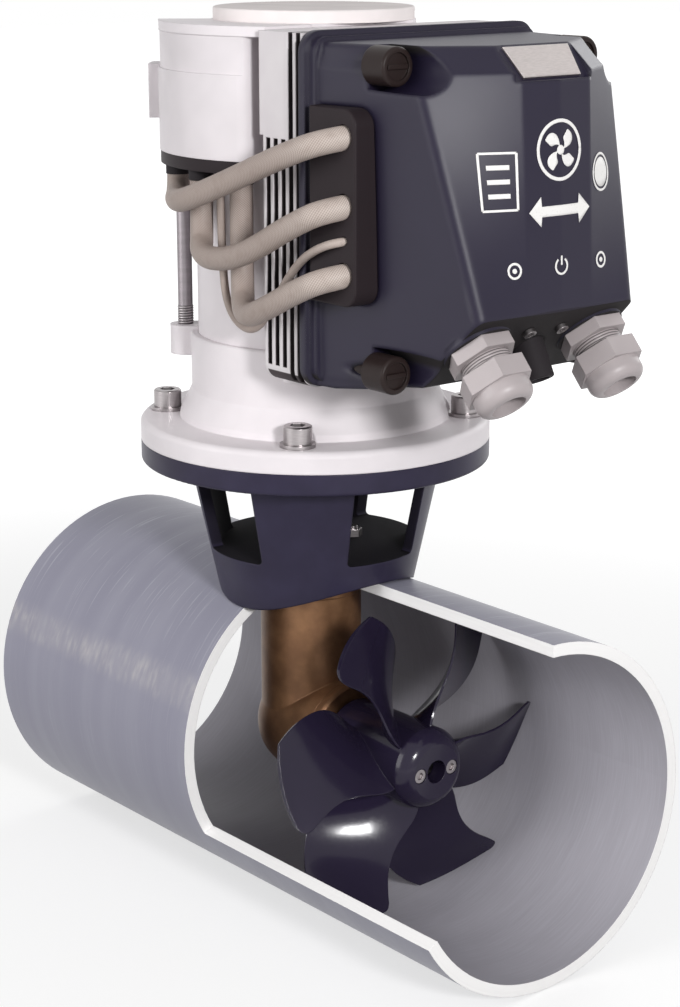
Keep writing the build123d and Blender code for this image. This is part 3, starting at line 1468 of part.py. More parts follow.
# Quarter-turn knobs that hold the cover
for number, spot in enumerate(knob_spots, 1):
    with BuildPart() as cover_knob:
        drum_x(knob_floor_x + air, knob_face_x, knob_r, spots=[spot])
        face_edges = cover_knob.edges().group_by(Axis.X)[-1]
        fillet(face_edges, knob_face_round)
        dish_r = knob_r - knob_rim_wide
        drum_x(knob_face_x - knob_dish_deep, knob_face_x, dish_r, spots=[spot], mode=Mode.SUBTRACT)
        with Locations((knob_face_x - knob_dish_deep / 2, *spot)):
            Box(knob_dish_deep, 2 * dish_r - 1.0, knob_bar_wide)
        drum_x(knob_stem_end + air, knob_floor_x + air, knob_stem_r, spots=[spot])
    save(cover_knob, f"cover_knob_{number}")

# Grommet block with a collar round each cable
with BuildPart() as cable_grommet:
    grommet_block(0.0)
    fillet(cable_grommet.faces().sort_by(Axis.Y)[0].edges(), 1.2)
    for way in power_ways:
        cord(way, cable_r + seat, mode=Mode.SUBTRACT)
    cord(signal_way, signal_r + seat, mode=Mode.SUBTRACT)
save(cable_grommet, "cable_grommet")

# Glands under the hood
with BuildPart() as gland_locknuts:
    for plane in gland_planes:
        with BuildSketch(plane.offset(0.05)) as nut:
            RegularPolygon(gland_flats / 2, 6, major_radius=False)
            Circle(gland_thread_r + slip, mode=Mode.SUBTRACT)
        extrude(nut.sketch, amount=gland_hex_high)
save(gland_locknuts, "gland_locknuts")

with BuildPart() as gland_bodies:
    bar_on(gland_planes, -8.0, gland_thread_end, gland_thread_r, gland_bore_r)
    bar_on(
        gland_planes,
        gland_seat_start,
        gland_thread_end,
        gland_seat_r,
        mode=Mode.SUBTRACT,
    )
save(gland_bodies, "gland_bodies")

for number, plane in enumerate(gland_planes, 1):
    with BuildPart() as gland_seal:
        bar_on([plane], gland_seal_start, gland_seal_end, gland_seat_r - air, gland_seal_bore_r)
    save(gland_seal, f"gland_seal_{number}")
    with BuildPart() as gland_cap:
        with BuildSketch(plane.offset(gland_cap_start)) as hexagon:
            RegularPolygon(gland_cap_flats / 2, 6, major_radius=False)
        extrude(hexagon.sketch, amount=gland_cap_hex_end - gland_cap_start)
        bar_on([plane], gland_cap_hex_end, gland_cap_end, gland_cap_flats / 2 - 1.0)
        tip = gland_cap.faces().sort_by(Axis((0, 0, 0), tuple(slope_out)))[-1].edges()
        fillet(tip, 5.5)
        bar_on(
            [plane],
            gland_cap_start,
            gland_thread_end + 4.0,
            gland_thread_r + air,
            mode=Mode.SUBTRACT,
        )
        bar_on([plane], gland_thread_end, gland_seal_end + air, gland_seat_r, mode=Mode.SUBTRACT)
        bar_on([plane], gland_seal_end, gland_cap_end, gland_mouth_r, mode=Mode.SUBTRACT)
    save(gland_cap, f"gland_cap_{number}")

with BuildPart() as connector_boot:
    bar_on([boot_plane], -boot_in_cover, boot_long, boot_r)
    fillet(connector_boot.edges().sort_by(Axis((0, 0, 0), boot_lean))[-1], 1.0)
    bar_on([boot_plane], boot_long - boot_bore_deep, boot_long, boot_bore_r, mode=Mode.SUBTRACT)
save(connector_boot, "connector_boot")

with BuildPart() as cover_screws:
    bar_on(screw_planes, -small_screw_deep, 1.0, small_screw_core_r)
    bar_on(screw_planes, 0.05, small_screw_high, small_screw_r)
    for plane in screw_planes:
        with BuildSketch(plane.offset(1.2)) as drive:
            RegularPolygon(1.6, 6, major_radius=False)
        extrude(drive.sketch, amount=2.0, mode=Mode.SUBTRACT)
save(cover_screws, "cover_screws")

# Circuit board on the heat sink's pads, with its power block against the sink
with BuildPart() as controller_board:
    board_x = sink_face_x + board_pad_high
    half_y = board_size[0] / 2
    half_z = board_size[1] / 2
    block((board_x, board_x + board_thick), (-half_y, half_y), (middle_z - half_z, middle_z + half_z))
    half_y = module_size[0] / 2
    half_z = module_size[1] / 2
    block((sink_face_x + 0.1, board_x), (-half_y, half_y), (middle_z - half_z, middle_z + half_z))
    capacitor_x = board_x + board_thick
    spots = [(y, middle_z + z) for y, z in capacitor_spots]
    drum_x(capacitor_x, capacitor_x + capacitor_high, capacitor_r, spots=spots)
save(controller_board, "controller_board")
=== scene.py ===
"""Bow thruster on its cut-away tunnel: the finishes, the cable sheaths, the threads and the print.

Lengths are in metres, except in the lists of places, which are in millimetres and say so. The
origin is where the tunnel's axis crosses the motor's axis, +Z runs up the motor and +X along the
tunnel towards the propeller and the controller.
"""

from math import cos, pi, radians, sin

import bpy
import numpy as np
from mathutils import Matrix, Vector


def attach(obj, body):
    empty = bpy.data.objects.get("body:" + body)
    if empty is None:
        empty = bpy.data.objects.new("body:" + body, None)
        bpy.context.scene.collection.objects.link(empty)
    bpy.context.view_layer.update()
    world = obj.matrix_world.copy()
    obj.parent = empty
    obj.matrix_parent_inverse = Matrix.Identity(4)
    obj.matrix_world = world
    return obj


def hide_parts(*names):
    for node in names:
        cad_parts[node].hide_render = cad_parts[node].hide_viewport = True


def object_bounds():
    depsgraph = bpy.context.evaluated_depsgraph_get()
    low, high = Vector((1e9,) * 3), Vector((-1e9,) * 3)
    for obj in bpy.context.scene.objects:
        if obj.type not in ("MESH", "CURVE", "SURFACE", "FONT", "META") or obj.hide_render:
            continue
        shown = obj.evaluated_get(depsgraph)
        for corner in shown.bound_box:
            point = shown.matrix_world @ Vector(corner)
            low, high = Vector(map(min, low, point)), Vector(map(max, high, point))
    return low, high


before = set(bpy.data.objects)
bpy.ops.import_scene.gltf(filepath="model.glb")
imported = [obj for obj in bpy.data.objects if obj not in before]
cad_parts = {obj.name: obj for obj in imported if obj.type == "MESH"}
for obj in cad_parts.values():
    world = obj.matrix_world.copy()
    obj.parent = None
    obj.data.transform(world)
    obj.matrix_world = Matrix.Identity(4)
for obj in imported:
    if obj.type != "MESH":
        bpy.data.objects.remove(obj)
cad_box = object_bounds()

mm = 0.001


# Camera
image_high = 1007  # pixels, the longer side, which the sensor's width covers
focal_px = 2271.757
sensor_wide = 36.0  # millimetres
camera_place = Vector((1.01009, -0.80727, 0.48227))
camera_turn = radians(50.735)  # from looking along +Y, round towards -X
camera_rise = radians(15.013)
camera_roll = radians(-0.076)


def make_camera():
    """The camera stands at the photograph's place. Its axes are worked out from its turn, its rise
    and its roll."""
    back = Vector(
        (
            sin(camera_turn) * cos(camera_rise),
            -cos(camera_turn) * cos(camera_rise),
            sin(camera_rise),
        )
    )
    level = Vector((cos(camera_turn), sin(camera_turn), 0))
    right = level * cos(camera_roll) + back.cross(level) * sin(camera_roll)
    up = back.cross(right)
    data = bpy.data.cameras.new("camera")
    data.sensor_width = sensor_wide
    data.lens = sensor_wide * focal_px / image_high
    camera = bpy.data.objects.new("camera", data)
    bpy.context.scene.collection.objects.link(camera)
    turned = Matrix((right, up, back)).transposed().to_4x4()
    camera.matrix_world = Matrix.Translation(camera_place) @ turned
    bpy.context.scene.camera = camera


def linear(*levels):
    """A colour written as 0 to 255 screen levels, as the linear values a shader takes: the standard
    curve of a screen, straight near black and a power above it."""
    share = np.array(levels, float) / 255
    value = np.where(share <= 0.04045, share / 12.92, ((share + 0.055) / 1.055) ** 2.4)
    return (*value, 1.0)


def shaded(levels, share):
    """The same colour with its screen levels times a share."""
    return linear(*(min(255, level * share) for level in levels))


# Shader maths
edge_samples = 6  # rays that look for an edge from each point


class Value:
    """One output of a graph's nodes. Arithmetic on it adds the Math nodes that it needs."""

    def __init__(self, graph, socket):
        self.graph = graph
        self.socket = socket

    def maths(self, operation, *others):
        """The result of a Math node of that operation on this value and the others."""
        values = dict(enumerate((self, *others)))
        return self.graph.add("ShaderNodeMath", {"operation": operation}, values)

    def __add__(self, other):
        return self.maths("ADD", other)

    def __mul__(self, other):
        return self.maths("MULTIPLY", other)

    def __sub__(self, other):
        return self.maths("SUBTRACT", other)

    def __truediv__(self, other):
        return self.maths("DIVIDE", other)

    def __rsub__(self, other):
        return self.graph.add("ShaderNodeMath", {"operation": "SUBTRACT"}, {0: other, 1: self})

    __radd__ = __add__
    __rmul__ = __mul__

    def step(self, low, high):
        """0 below low and 1 above high, with a smooth change between them."""
        ends = {"Value": self, "From Min": low, "From Max": high}
        return self.graph.add("ShaderNodeMapRange", {"interpolation_type": "SMOOTHSTEP"}, ends)


class Graph:
    """The nodes of one material, or of the world."""

    def __init__(self, name, world=False):
        kind = bpy.data.worlds if world else bpy.data.materials
        self.owner = kind.new(name)
        self.owner.use_nodes = True
        self.tree = self.owner.node_tree
        self.tree.nodes.clear()

    def add(self, kind, settings=None, values=None, output=0):
        """Adds a node of a kind: its settings, then the values or links of its sockets."""
        node = self.tree.nodes.new(kind)
        for name, setting in (settings or {}).items():
            setattr(node, name, setting)
        for name, value in (values or {}).items():
            if isinstance(value, Value):
                self.tree.links.new(value.socket, node.inputs[name])
            else:
                node.inputs[name].default_value = value
        return Value(self, node.outputs[output]) if node.outputs else None

    def coordinates(self, kind="Object"):
        """The place on the piece, or with "Normal" or "UV" its normal or its UV map."""
        return self.add("ShaderNodeTexCoord", output=kind)

    def axes(self, kind="Object"):
        """The three parts of the coordinates of a kind."""
        split = self.add("ShaderNodeSeparateXYZ", values={0: self.coordinates(kind)})
        return [Value(self, socket) for socket in split.socket.node.outputs]

    def vector(self, x, y, z):
        """Three values as one vector."""
        return self.add("ShaderNodeCombineXYZ", values={0: x, 1: y, 2: z})

    def noise(self, size, detail=2.0, vector=None):
        """Cloudy noise whose patches are about that large, from 0 to 1."""
        values = {"Vector": vector or self.coordinates(), "Scale": 1 / size, "Detail": detail}
        return self.add("ShaderNodeTexNoise", values=values)

    def clouds(self, size=24 * mm, detail=3.0):
        """Noise drawn apart into patches of 0 and 1 with soft borders."""
        return self.noise(size, detail).step(0.3, 0.75)

    def mix(self, share, first, second):
        """A colour between two, by share. The node's colours are its sockets 6, 7 and output 2."""
        return self.add("ShaderNodeMix", {"data_type": "RGBA"}, {0: share, 6: first, 7: second}, 2)

    def soft_edge(self, radius):
        """The normal as if each edge were rounded to that radius."""
        return self.add("ShaderNodeBevel", {"samples": edge_samples}, {"Radius": radius})

    def bump(self, height, deep, normal=None):
        """Relief of a height between 0 and 1, times a depth."""
        values = {"Height": height, "Distance": deep, "Strength": 1.0}
        if normal:
            values["Normal"] = normal
        return self.add("ShaderNodeBump", values=values)

    def skin(self, grain, deep, edge, detail=2.0):
        """A grained skin with rounded edges: its noise, from 0 to 1, and its normal."""
        height = self.noise(grain, detail)
        return height, self.bump(height, deep, self.soft_edge(edge))

    def finish(self, colour, rough, metal=0.0, normal=None, **more):
        """Ends the material in a surface of that colour, roughness and metal share."""
        values = {"Base Color": colour, "Roughness": rough, "Metallic": metal}
        if normal:
            values["Normal"] = normal
        values.update({name.replace("_", " "): value for name, value in more.items()})
        shader = self.add("ShaderNodeBsdfPrincipled", values=values)
        self.add("ShaderNodeOutputMaterial", values={"Surface": shader})
        return self.owner


# Finishes. Their colours are screen levels, from the darker patches to the lighter ones
tunnel_bore_r = 92.5 * mm
tunnel_r = 99.5 * mm
wall_change = 3.0 * mm  # under both faces of the wall: between, its lining gives way to its shell
scuffed_z = 37.0 * mm  # height of the scuffed strip along the tunnel's side
scuffed_half = (2 * mm, 13 * mm)  # from its middle, where it starts to fade and where it ends


def glass_fibre():
    """Wound glass fibre: hoop lines under a gel coat, painted lighter along the tunnel's top as a
    highlight, a scuffed strip where the tube was handled, and white cut edges that show its layers."""
    graph = Graph("glass_fibre")
    x, y, z = graph.axes()
    _, ny, nz = graph.axes("Normal")
    radius = (y * y + z * z).maths("SQRT")
    facing = ((y * ny + z * nz) / radius).maths("ABSOLUTE").step(0.4, 0.6)
    outside = radius.step(tunnel_bore_r + wall_change, tunnel_r - wall_change)

    def hooped(squeeze):
        """The place, squeezed across the tunnel, which draws a pattern out round it."""
        return graph.vector(x, y * squeeze, z * squeeze)

    lay = hooped(0.04)
    bands = graph.noise(22 * mm, 2.0, lay).step(0.3, 0.7)
    threads = graph.noise(0.9 * mm, 2.0, lay)
    lines = graph.noise(1.3 * mm, 3.0, hooped(0.03)).step(0.58, 0.72)
    # painted highlight: the hoop lines show lighter and more along the tunnel's top
    lines_lit_on_top = 0.08 + 0.4 * z.step(30 * mm, 90 * mm)  # most along the tunnel's top
    specks = graph.noise(3.2 * mm, 4.0, hooped(0.25)).step(0.35, 0.75)
    patches = graph.noise(16 * mm, 2.0).step(0.35, 0.6)
    strip = 1 - (z - scuffed_z).maths("ABSOLUTE").step(*scuffed_half)
    scuffs = (0.3 + specks * (0.3 + patches)) * strip * y.step(0.0, -10 * mm) * outside
    shell = graph.mix(bands, linear(141, 140, 155), linear(149, 148, 162))
    shell = graph.mix(lines * lines_lit_on_top, shell, linear(192, 192, 202))
    shell = graph.mix(scuffs * 0.42, shell, linear(192, 187, 187))
    lining = graph.mix(bands, linear(164, 161, 169), linear(168, 165, 173))
    lining = graph.mix(threads.step(0.35, 0.75) * 0.3, lining, linear(186, 186, 194))
    skin = graph.mix(outside, lining, shell)
    layers = graph.noise(1.1 * mm, 1.0, graph.vector(x * 0.05, (y + z) * 0.05, radius))
    cut = graph.mix(layers, linear(244, 242, 242), linear(252, 251, 250))
    colour = graph.mix(facing, cut, skin)
    relief = graph.bump(threads, 0.03 * mm, graph.soft_edge(0.6 * mm))
    rough = 0.66 - 0.3 * facing + 0.12 * (threads - 0.5) + 0.2 * scuffs
    return graph.finish(colour, rough, normal=relief, Specular_IOR_Level=0.2)


bracket_floor_z = (116.0 * mm, 118.0 * mm)  # the bracket's floor lies under these


def bracket_coat():
    """Powder coat that is smooth on the bracket's outside. Its floor and the faces that look
    inwards between its legs are matt, and painted near black as shade."""
    graph = Graph("navy_powder_coat")
    x, y, z = graph.axes()
    nx, ny, nz = graph.axes("Normal")
    radius = (x * x + y * y).maths("SQRT")
    inward = ((x * nx + y * ny) / radius).step(-0.2, -0.5)
    floor = nz.step(0.7, 0.9) * (1 - z.step(*bracket_floor_z))
    shaded_inside = inward.maths("MAXIMUM", floor)
    coat = graph.mix(graph.clouds(), linear(44, 40, 58), linear(50, 46, 66))
    # painted shade: near black on the floor and on the faces that look inwards
    colour = graph.mix(shaded_inside, coat, linear(20, 17, 24))
    skin, normal = graph.skin(0.7 * mm, 0.02 * mm, 1.5 * mm)
    rough = 0.36 + 0.12 * (skin - 0.5) + 0.5 * shaded_inside
    return graph.finish(colour, rough, normal=normal, Specular_IOR_Level=0.15)


def white_paint():
    """Paint on the motor's castings: a faintly cloudy white with a fine grain."""
    graph = Graph("white_paint")
    colour = graph.mix(graph.clouds(), linear(226, 220, 223), linear(231, 225, 228))
    skin, normal = graph.skin(1.1 * mm, 0.015 * mm, 1.2 * mm)
    rough = 0.42 + 0.12 * (skin - 0.5)
    return graph.finish(colour, rough, normal=normal, Specular_IOR_Level=0.2)


fin_edge_y = 75.6 * mm  # the painted outer edges of the fins stand beyond this
fins_x = (53.9 * mm, 84.1 * mm)  # the slots between the fins lie within these
fins_top_z = 413.8 * mm
slot_edge = 0.2 * mm  # over which the painted shade of a slot gives way to clean paint


def finned_paint():
    """The heat sink's paint, with painted shade on the walls of the slots between its fins."""
    graph = Graph("fin_paint")
    x, y, z = graph.axes()
    first_x, last_x = fins_x
    deep = 1 - y.maths("ABSOLUTE").step(fin_edge_y - slot_edge, fin_edge_y)
    between = x.step(first_x - slot_edge, first_x) * (1 - x.step(last_x, last_x + slot_edge))
    slot = deep * between * (1 - z.step(fins_top_z, fins_top_z + slot_edge))
    cloud = graph.clouds()
    coat = graph.mix(cloud, linear(216, 210, 213), linear(222, 217, 219))
    # painted shade: the walls of the slots between the fins are dark
    slot_shade = graph.mix(cloud, linear(54, 48, 50), linear(70, 63, 65))
    _, normal = graph.skin(1.1 * mm, 0.03 * mm, 1.2 * mm)
    colour = graph.mix(slot, coat, slot_shade)
    return graph.finish(colour, 0.45 + 0.25 * slot, normal=normal, Specular_IOR_Level=0.2)


def cast_bronze():
    """Sand-cast bronze: browned, pitted skin."""
    graph = Graph("cast_bronze")
    colour = graph.mix(graph.clouds(14 * mm, 4.0), linear(116, 83, 59), linear(142, 105, 75))
    sand, normal = graph.skin(0.8 * mm, 0.07 * mm, 1.5 * mm, 3.0)
    rough = 0.38 + 0.2 * (sand - 0.4)
    return graph.finish(colour, rough, 0.5, normal, Specular_IOR_Level=0.3)


def machined(name, colour, rough, pitch=0.35 * mm, deep=0.02 * mm):
    """Turned metal: fine rings across the piece."""
    graph = Graph(name)
    x, y, z = graph.axes()
    rings = graph.noise(pitch, 2.0, graph.vector(x * 0.1, y * 0.1, z))
    tint = graph.mix(rings, shaded(colour, 0.82), linear(*colour))
    normal = graph.bump(rings, deep, graph.soft_edge(0.3 * mm))
    return graph.finish(tint, rough + 0.15 * (rings - 0.5), 1.0, normal)


def moulded(name, colour, rough, deep=0.03 * mm, edge=0.8 * mm, grain=0.5 * mm, **more):
    """Moulded plastic or rubber with a fine spark-eroded grain."""
    graph = Graph(name)
    tint = graph.mix(graph.noise(30 * mm), shaded(colour, 0.93), shaded(colour, 1.05))
    skin, normal = graph.skin(grain, deep, edge)
    return graph.finish(tint, rough + 0.1 * (skin - 0.5), normal=normal, **more)


def hood_plastic():
    """The cover's moulding: a fine grain, and painted shade where it faces down, which is duller
    too.
    """
    graph = Graph("navy_plastic")
    _, _, nz = graph.axes("Normal")
    under = (0 - nz).step(0.25, 0.6)
    tint = graph.mix(graph.noise(30 * mm), linear(27, 22, 41), linear(31, 26, 46))
    # painted shade: darker where the cover faces down
    tint = graph.mix(under, tint, linear(21, 16, 18))
    skin, normal = graph.skin(0.45 * mm, 0.02 * mm, 3.5 * mm)
    rough = 0.42 + 0.1 * (skin - 0.5) + 0.35 * under
    return graph.finish(tint, rough, normal=normal, Specular_IOR_Level=0.3)


def circuit_board():
    """Green board with lighter tracks under its lacquer, which run like the joints of bricks."""
    graph = Graph("circuit_board")
    x, y, z = graph.axes()
    bricks = {"Vector": graph.vector(y, z, x), "Scale": 180.0}
    track = graph.add("ShaderNodeTexBrick", values=bricks, output="Fac")
    colour = graph.mix(track, linear(28, 92, 48), linear(58, 128, 70))
    return graph.finish(colour, 0.4)


braid_threads = 26  # threads that wind each way round a sheath
braid_pitch = 1.3 * mm  # from one crossing to the next, along the sheath
shade_reach = (15 * mm, 75 * mm)  # along a sheath, where its painted shade starts and where it is full


def braided_sheath():
    """Braided sleeve: two sets of threads that cross, by the length and the turn stored in the UV
    map. One set lies over the other, so it shows more."""
    graph = Graph("braided_sheath")
    along, around, _ = graph.axes("UV")
    run = along * (2 * pi / braid_pitch)
    turn = around * (2 * pi * braid_threads)
    upper = (turn + run).maths("SINE") * 0.5 + 0.5
    lower = (turn - run).maths("SINE") * 0.5 + 0.5
    thread = upper * 0.65 + lower * 0.35
    dirt = graph.noise(7 * mm, 3.0).step(0.45, 0.8)
    colour = graph.mix(thread.step(0.1, 0.8), linear(162, 149, 142), linear(198, 185, 177))
    # painted shade: darker and browner further along each sheath, towards its terminal
    colour = graph.mix(along.step(*shade_reach) * 0.45, colour, linear(122, 105, 98))
    colour = graph.mix(dirt * 0.35, colour, linear(136, 120, 112))
    relief = graph.bump(thread, 0.05 * mm)
    return graph.finish(colour, 0.6 - 0.12 * thread, normal=relief, Specular_IOR_Level=0.4)


thread_pitch = 1.5 * mm


def threaded(name, colour, metal, rough):
    """A screw thread, by the height and the turn stored in the UV map, with painted shade in its
    grooves.
    """
    graph = Graph(name)
    height, turn, _ = graph.axes("UV")
    crest = 0.5 - 0.5 * ((height / thread_pitch - turn) * (2 * pi)).maths("COSINE")
    # painted shade: the grooves are darker than the crests
    tint = graph.mix(crest.step(0.1, 0.7), shaded(colour, 0.55), linear(*colour))
    return graph.finish(tint, rough, metal)


def white_print():
    """White ink, a little worn."""
    graph = Graph("white_print")
    wear = graph.noise(0.8 * mm, 3.0).step(0.25, 0.4)
    return graph.finish(graph.mix(wear, linear(214, 212, 210), linear(238, 236, 234)), 0.55)


glass = glass_fibre()
navy_coat = bracket_coat()
white_coat = white_paint()
fin_coat = finned_paint()
white_shell = moulded(
    "white_plastic", (226, 220, 223), 0.45, 0.015 * mm, Specular_IOR_Level=0.15
)
bronze = cast_bronze()
matt_white = moulded(
    "matt_white_plastic", (240, 233, 232), 0.7, 0.02 * mm, Specular_IOR_Level=0.02
)
steel = machined("stainless_steel", (174, 168, 169), 0.32, deep=0.008 * mm)
drawn_steel = machined("drawn_steel", (150, 143, 147), 0.38, 3 * mm, 0.004 * mm)
dark_steel = machined("blackened_steel", (52, 49, 52), 0.4)
cover_plastic = hood_plastic()
black_plastic = moulded("black_plastic", (40, 33, 36), 0.5, 0.02 * mm, Specular_IOR_Level=0.12)
knob_plastic = moulded("knob_plastic", (40, 31, 30), 0.4, 0.02 * mm, Specular_IOR_Level=0.15)
blade_plastic = moulded(
    "propeller_plastic",
    (36, 30, 49),
    0.16,
    deep=0.0,
    grain=1.5 * mm,
    Specular_IOR_Level=0.25,
    Coat_Weight=0.06,
)
gland_plastic = moulded("grey_plastic", (174, 165, 166), 0.42, 0.01 * mm, 0.6 * mm)
rubber = moulded("rubber", (36, 32, 35), 0.7, edge=0.6 * mm, Specular_IOR_Level=0.2)
badge_metal = machined("badge_silver", (206, 198, 196), 0.42)
copper = machined("copper", (188, 120, 84), 0.35)
laminations = machined("laminations", (120, 115, 110), 0.5, 1.0 * mm)
magnet = moulded("ferrite", (58, 58, 60), 0.6)
carbon = moulded("carbon", (40, 40, 42), 0.6)
board = circuit_board()
sheath = braided_sheath()
steel_thread = threaded("steel_thread", (168, 162, 164), 1.0, 0.35)
gland_thread_finish = threaded("gland_thread", (174, 165, 166), 0.0, 0.42)
print_white = white_print()

finishes = {
    glass: ("tunnel",),
    navy_coat: ("mounting_bracket",),
    bronze: ("gear_leg", "bearing_carrier"),
    white_coat: ("motor_flange", "motor_housing", "top_cap"),
    fin_coat: ("heat_sink",),
    white_shell: ("terminal_cover",),
    matt_white: ("top_disc",),
    steel: (
        "leg_studs",
        "leg_nuts",
        "leg_bearings",
        "flange_bolts",
        "flange_washers",
        "motor_bearings",
        "terminal_studs",
        "cover_screws",
        "motor_shaft",
        "coupling_upper",
        "coupling_lower",
        "drive_shaft",
        "bevel_pinion",
        "prop_shaft",
        "bevel_wheel",
        "hub_screws",
    ),
    drawn_steel: ("tie_rods",),
    dark_steel: ("hub_bolt",),
    rubber: (
        "saddle_gasket",
        "shaft_seals",
        "cover_gasket",
        "connector_boot",
        "coupling_spider",
        "cable_lugs",
        "gland_seal_1",
        "gland_seal_2",
    ),
    cover_plastic: ("controller_cover",),
    black_plastic: ("terminal_plate", "cable_grommet", "brush_ring"),
    knob_plastic: ("cover_knob_1", "cover_knob_2", "cover_knob_3", "cover_knob_4"),
    blade_plastic: ("propeller",),
    gland_plastic: ("gland_locknuts", "gland_bodies", "gland_cap_1", "gland_cap_2"),
    badge_metal: ("badge_plate",),
    copper: ("commutator",),
    laminations: ("armature",),
    magnet: ("field_magnets",),
    carbon: ("brushes",),
    board: ("controller_board",),
}


def dress_nodes():
    """Gives each node its finish, in place of the material it was packed with."""
    for finish, names in finishes.items():
        for name in names:
            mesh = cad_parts[name].data
            mesh.materials.clear()
            mesh.materials.append(finish)


# Meshes
round_columns = 48  # points round a cable or a thread
aside = (0.3, 0.2, -0.93)  # a way that no cable and no thread runs


def make_piece(name, points, faces, material, body="frame", uv=None):
    """A smooth mesh object from an array of points and a list of faces, riding on a body. uv holds
    a place for each corner of each face."""
    mesh = bpy.data.meshes.new(name)
    mesh.from_pydata(points, [], faces)
    if uv is not None:
        layer = mesh.uv_layers.new(name="UVMap")
        layer.data.foreach_set("uv", uv.ravel())
    mesh.polygons.foreach_set("use_smooth", [True] * len(mesh.polygons))
    mesh.materials.append(material)
    mesh.update()
    piece = bpy.data.objects.new(name, mesh)
    bpy.context.scene.collection.objects.link(piece)
    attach(piece, body)
    return piece


def grid_faces(rows, columns, closed=False):
    """Quads between the rows and columns of a grid of points, closed round each row if asked."""
    across = columns if closed else columns - 1
    row, column = np.meshgrid(np.arange(rows - 1), np.arange(across), indexing="ij")
    following = (column + 1) % columns
    corners = (
        row * columns + column,
        row * columns + following,
        (row + 1) * columns + following,
        (row + 1) * columns + column,
    )
    return np.stack(corners, -1).reshape(-1, 4)


def round_body(name, line, way, radii, material, lengths):
    """A body of round sections. Round each point of the line, square to the way there, stands a
    ring of the radii given for each turn, and a flat face closes each end. The UV map holds the
    length and the turn."""
    rows, columns = radii.shape
    side = np.cross(way, aside)
    side /= np.linalg.norm(side, axis=1)[:, None]
    up = np.cross(way, side)
    turn = np.linspace(0, 2 * pi, columns, endpoint=False)[None, :, None]
    ring = np.cos(turn) * side[:, None] + np.sin(turn) * up[:, None]
    points = line[:, None] + radii[..., None] * ring
    quads = grid_faces(rows, columns, closed=True)
    ends = [list(range(columns))[::-1], list(range((rows - 1) * columns, rows * columns))]
    row, column = np.divmod(np.arange((rows - 1) * columns), columns)
    u = lengths[np.stack([row, row, row + 1, row + 1], -1)]
    v = np.stack([column, column + 1, column + 1, column], -1) / columns
    flat_ends = np.zeros((2 * columns, 2))
    uv = np.concatenate([np.stack([u, v], -1).reshape(-1, 2), flat_ends])
    faces = quads.tolist() + ends
    return make_piece(name, points.reshape(-1, 3), faces, material, uv=uv)


# Cables: the routes of the solids, in millimetres, up to where each lead turns up to its terminal
cable_r = 6.35 * mm
signal_r = 2.25 * mm
ring_gap = 1.0 * mm  # between the sections of a sheath
power_routes = (
    (
        (128.2, -60.0, 366.0),
        (125.0, -91.5, 364.5),
        (94.0, -96.5, 354.0),
        (50.0, -98.0, 337.0),
        (16.0, -98.5, 325.0),
        (-6.5, -92.0, 320.5),
    ),
    (
        (128.2, -60.0, 331.0),
        (125.0, -91.5, 330.0),
        (98.0, -94.5, 318.5),
        (66.0, -94.0, 302.5),
        (40.0, -93.0, 294.0),
        (13.0, -89.5, 292.5),
    ),
    (
        (128.2, -60.0, 296.0),
        (125.0, -91.5, 295.0),
        (99.0, -94.0, 284.0),
        (74.0, -93.0, 272.0),
        (49.0, -88.0, 263.5),
    ),
)
signal_route = (
    (129.8, -60.0, 313.0),
    (128.0, -84.5, 313.5),
    (108.0, -86.5, 307.0),
    (86.0, -82.0, 295.0),
    (64.0, -78.5, 273.0),
    (46.0, -79.0, 252.5),
    (25.0, -80.0, 261.0),
)
# Where each lead turns up on the circle of terminals, and where it ends, in degrees and millimetres
terminal_circle = 78.0
terminal_deg = (-115.5, -91.0, -69.0)
signal_deg = -79.5
turn_up_z = (322.5, 303.5, 277.0)
signal_turn_up_z = 288.0
cable_end_z = 333.9
signal_end_z = 348.5


def smooth_line(route):
    """Points of the smooth spline that follows a route, read from a curve with no bevel."""
    curve = bpy.data.curves.new("route", "CURVE")
    curve.dimensions = "3D"
    curve.resolution_u = 40
    spline = curve.splines.new("NURBS")
    spline.points.add(len(route) - 1)
    for point, place in zip(spline.points, route):
        point.co = (*(Vector(place) * mm), 1.0)
    spline.order_u = 3
    spline.use_endpoint_u = True
    holder = bpy.data.objects.new("route", curve)
    bpy.context.scene.collection.objects.link(holder)
    bpy.context.view_layer.update()
    drawn = holder.evaluated_get(bpy.context.evaluated_depsgraph_get())
    shape = bpy.data.meshes.new_from_object(drawn)
    line = np.empty(len(shape.vertices) * 3)
    shape.vertices.foreach_get("co", line)
    bpy.data.objects.remove(holder)
    return line.reshape(-1, 3)


def even_line(line, gap):
    """The same line with its points a fixed gap apart, and how far along it each of them is."""
    run = np.concatenate(([0.0], np.cumsum(np.linalg.norm(np.diff(line, axis=0), axis=1))))
    places = np.linspace(0, run[-1], max(2, int(run[-1] / gap)))
    return np.stack([np.interp(places, run, line[:, axis]) for axis in range(3)], -1), places


def on_circle(radius, degrees_round, z):
    """A place on a level circle about the motor's axis."""
    return radius * cos(radians(degrees_round)), radius * sin(radians(degrees_round)), z


def make_lead(name, node, route, angle, turn_up, end, radius):
    """A lead in its braided sheath: a circle carried along the smooth line of its route, whose
    last run stands under its terminal."""
    ends = (on_circle(terminal_circle, angle, turn_up), on_circle(terminal_circle, angle, end))
    line, lengths = even_line(smooth_line((*route, *ends)), ring_gap)
    way = np.gradient(line, axis=0)
    way /= np.linalg.norm(way, axis=1)[:, None]
    radii = np.full((len(line), round_columns), radius)
    lead = round_body(name, line, way, radii, sheath, lengths)
    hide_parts(node)


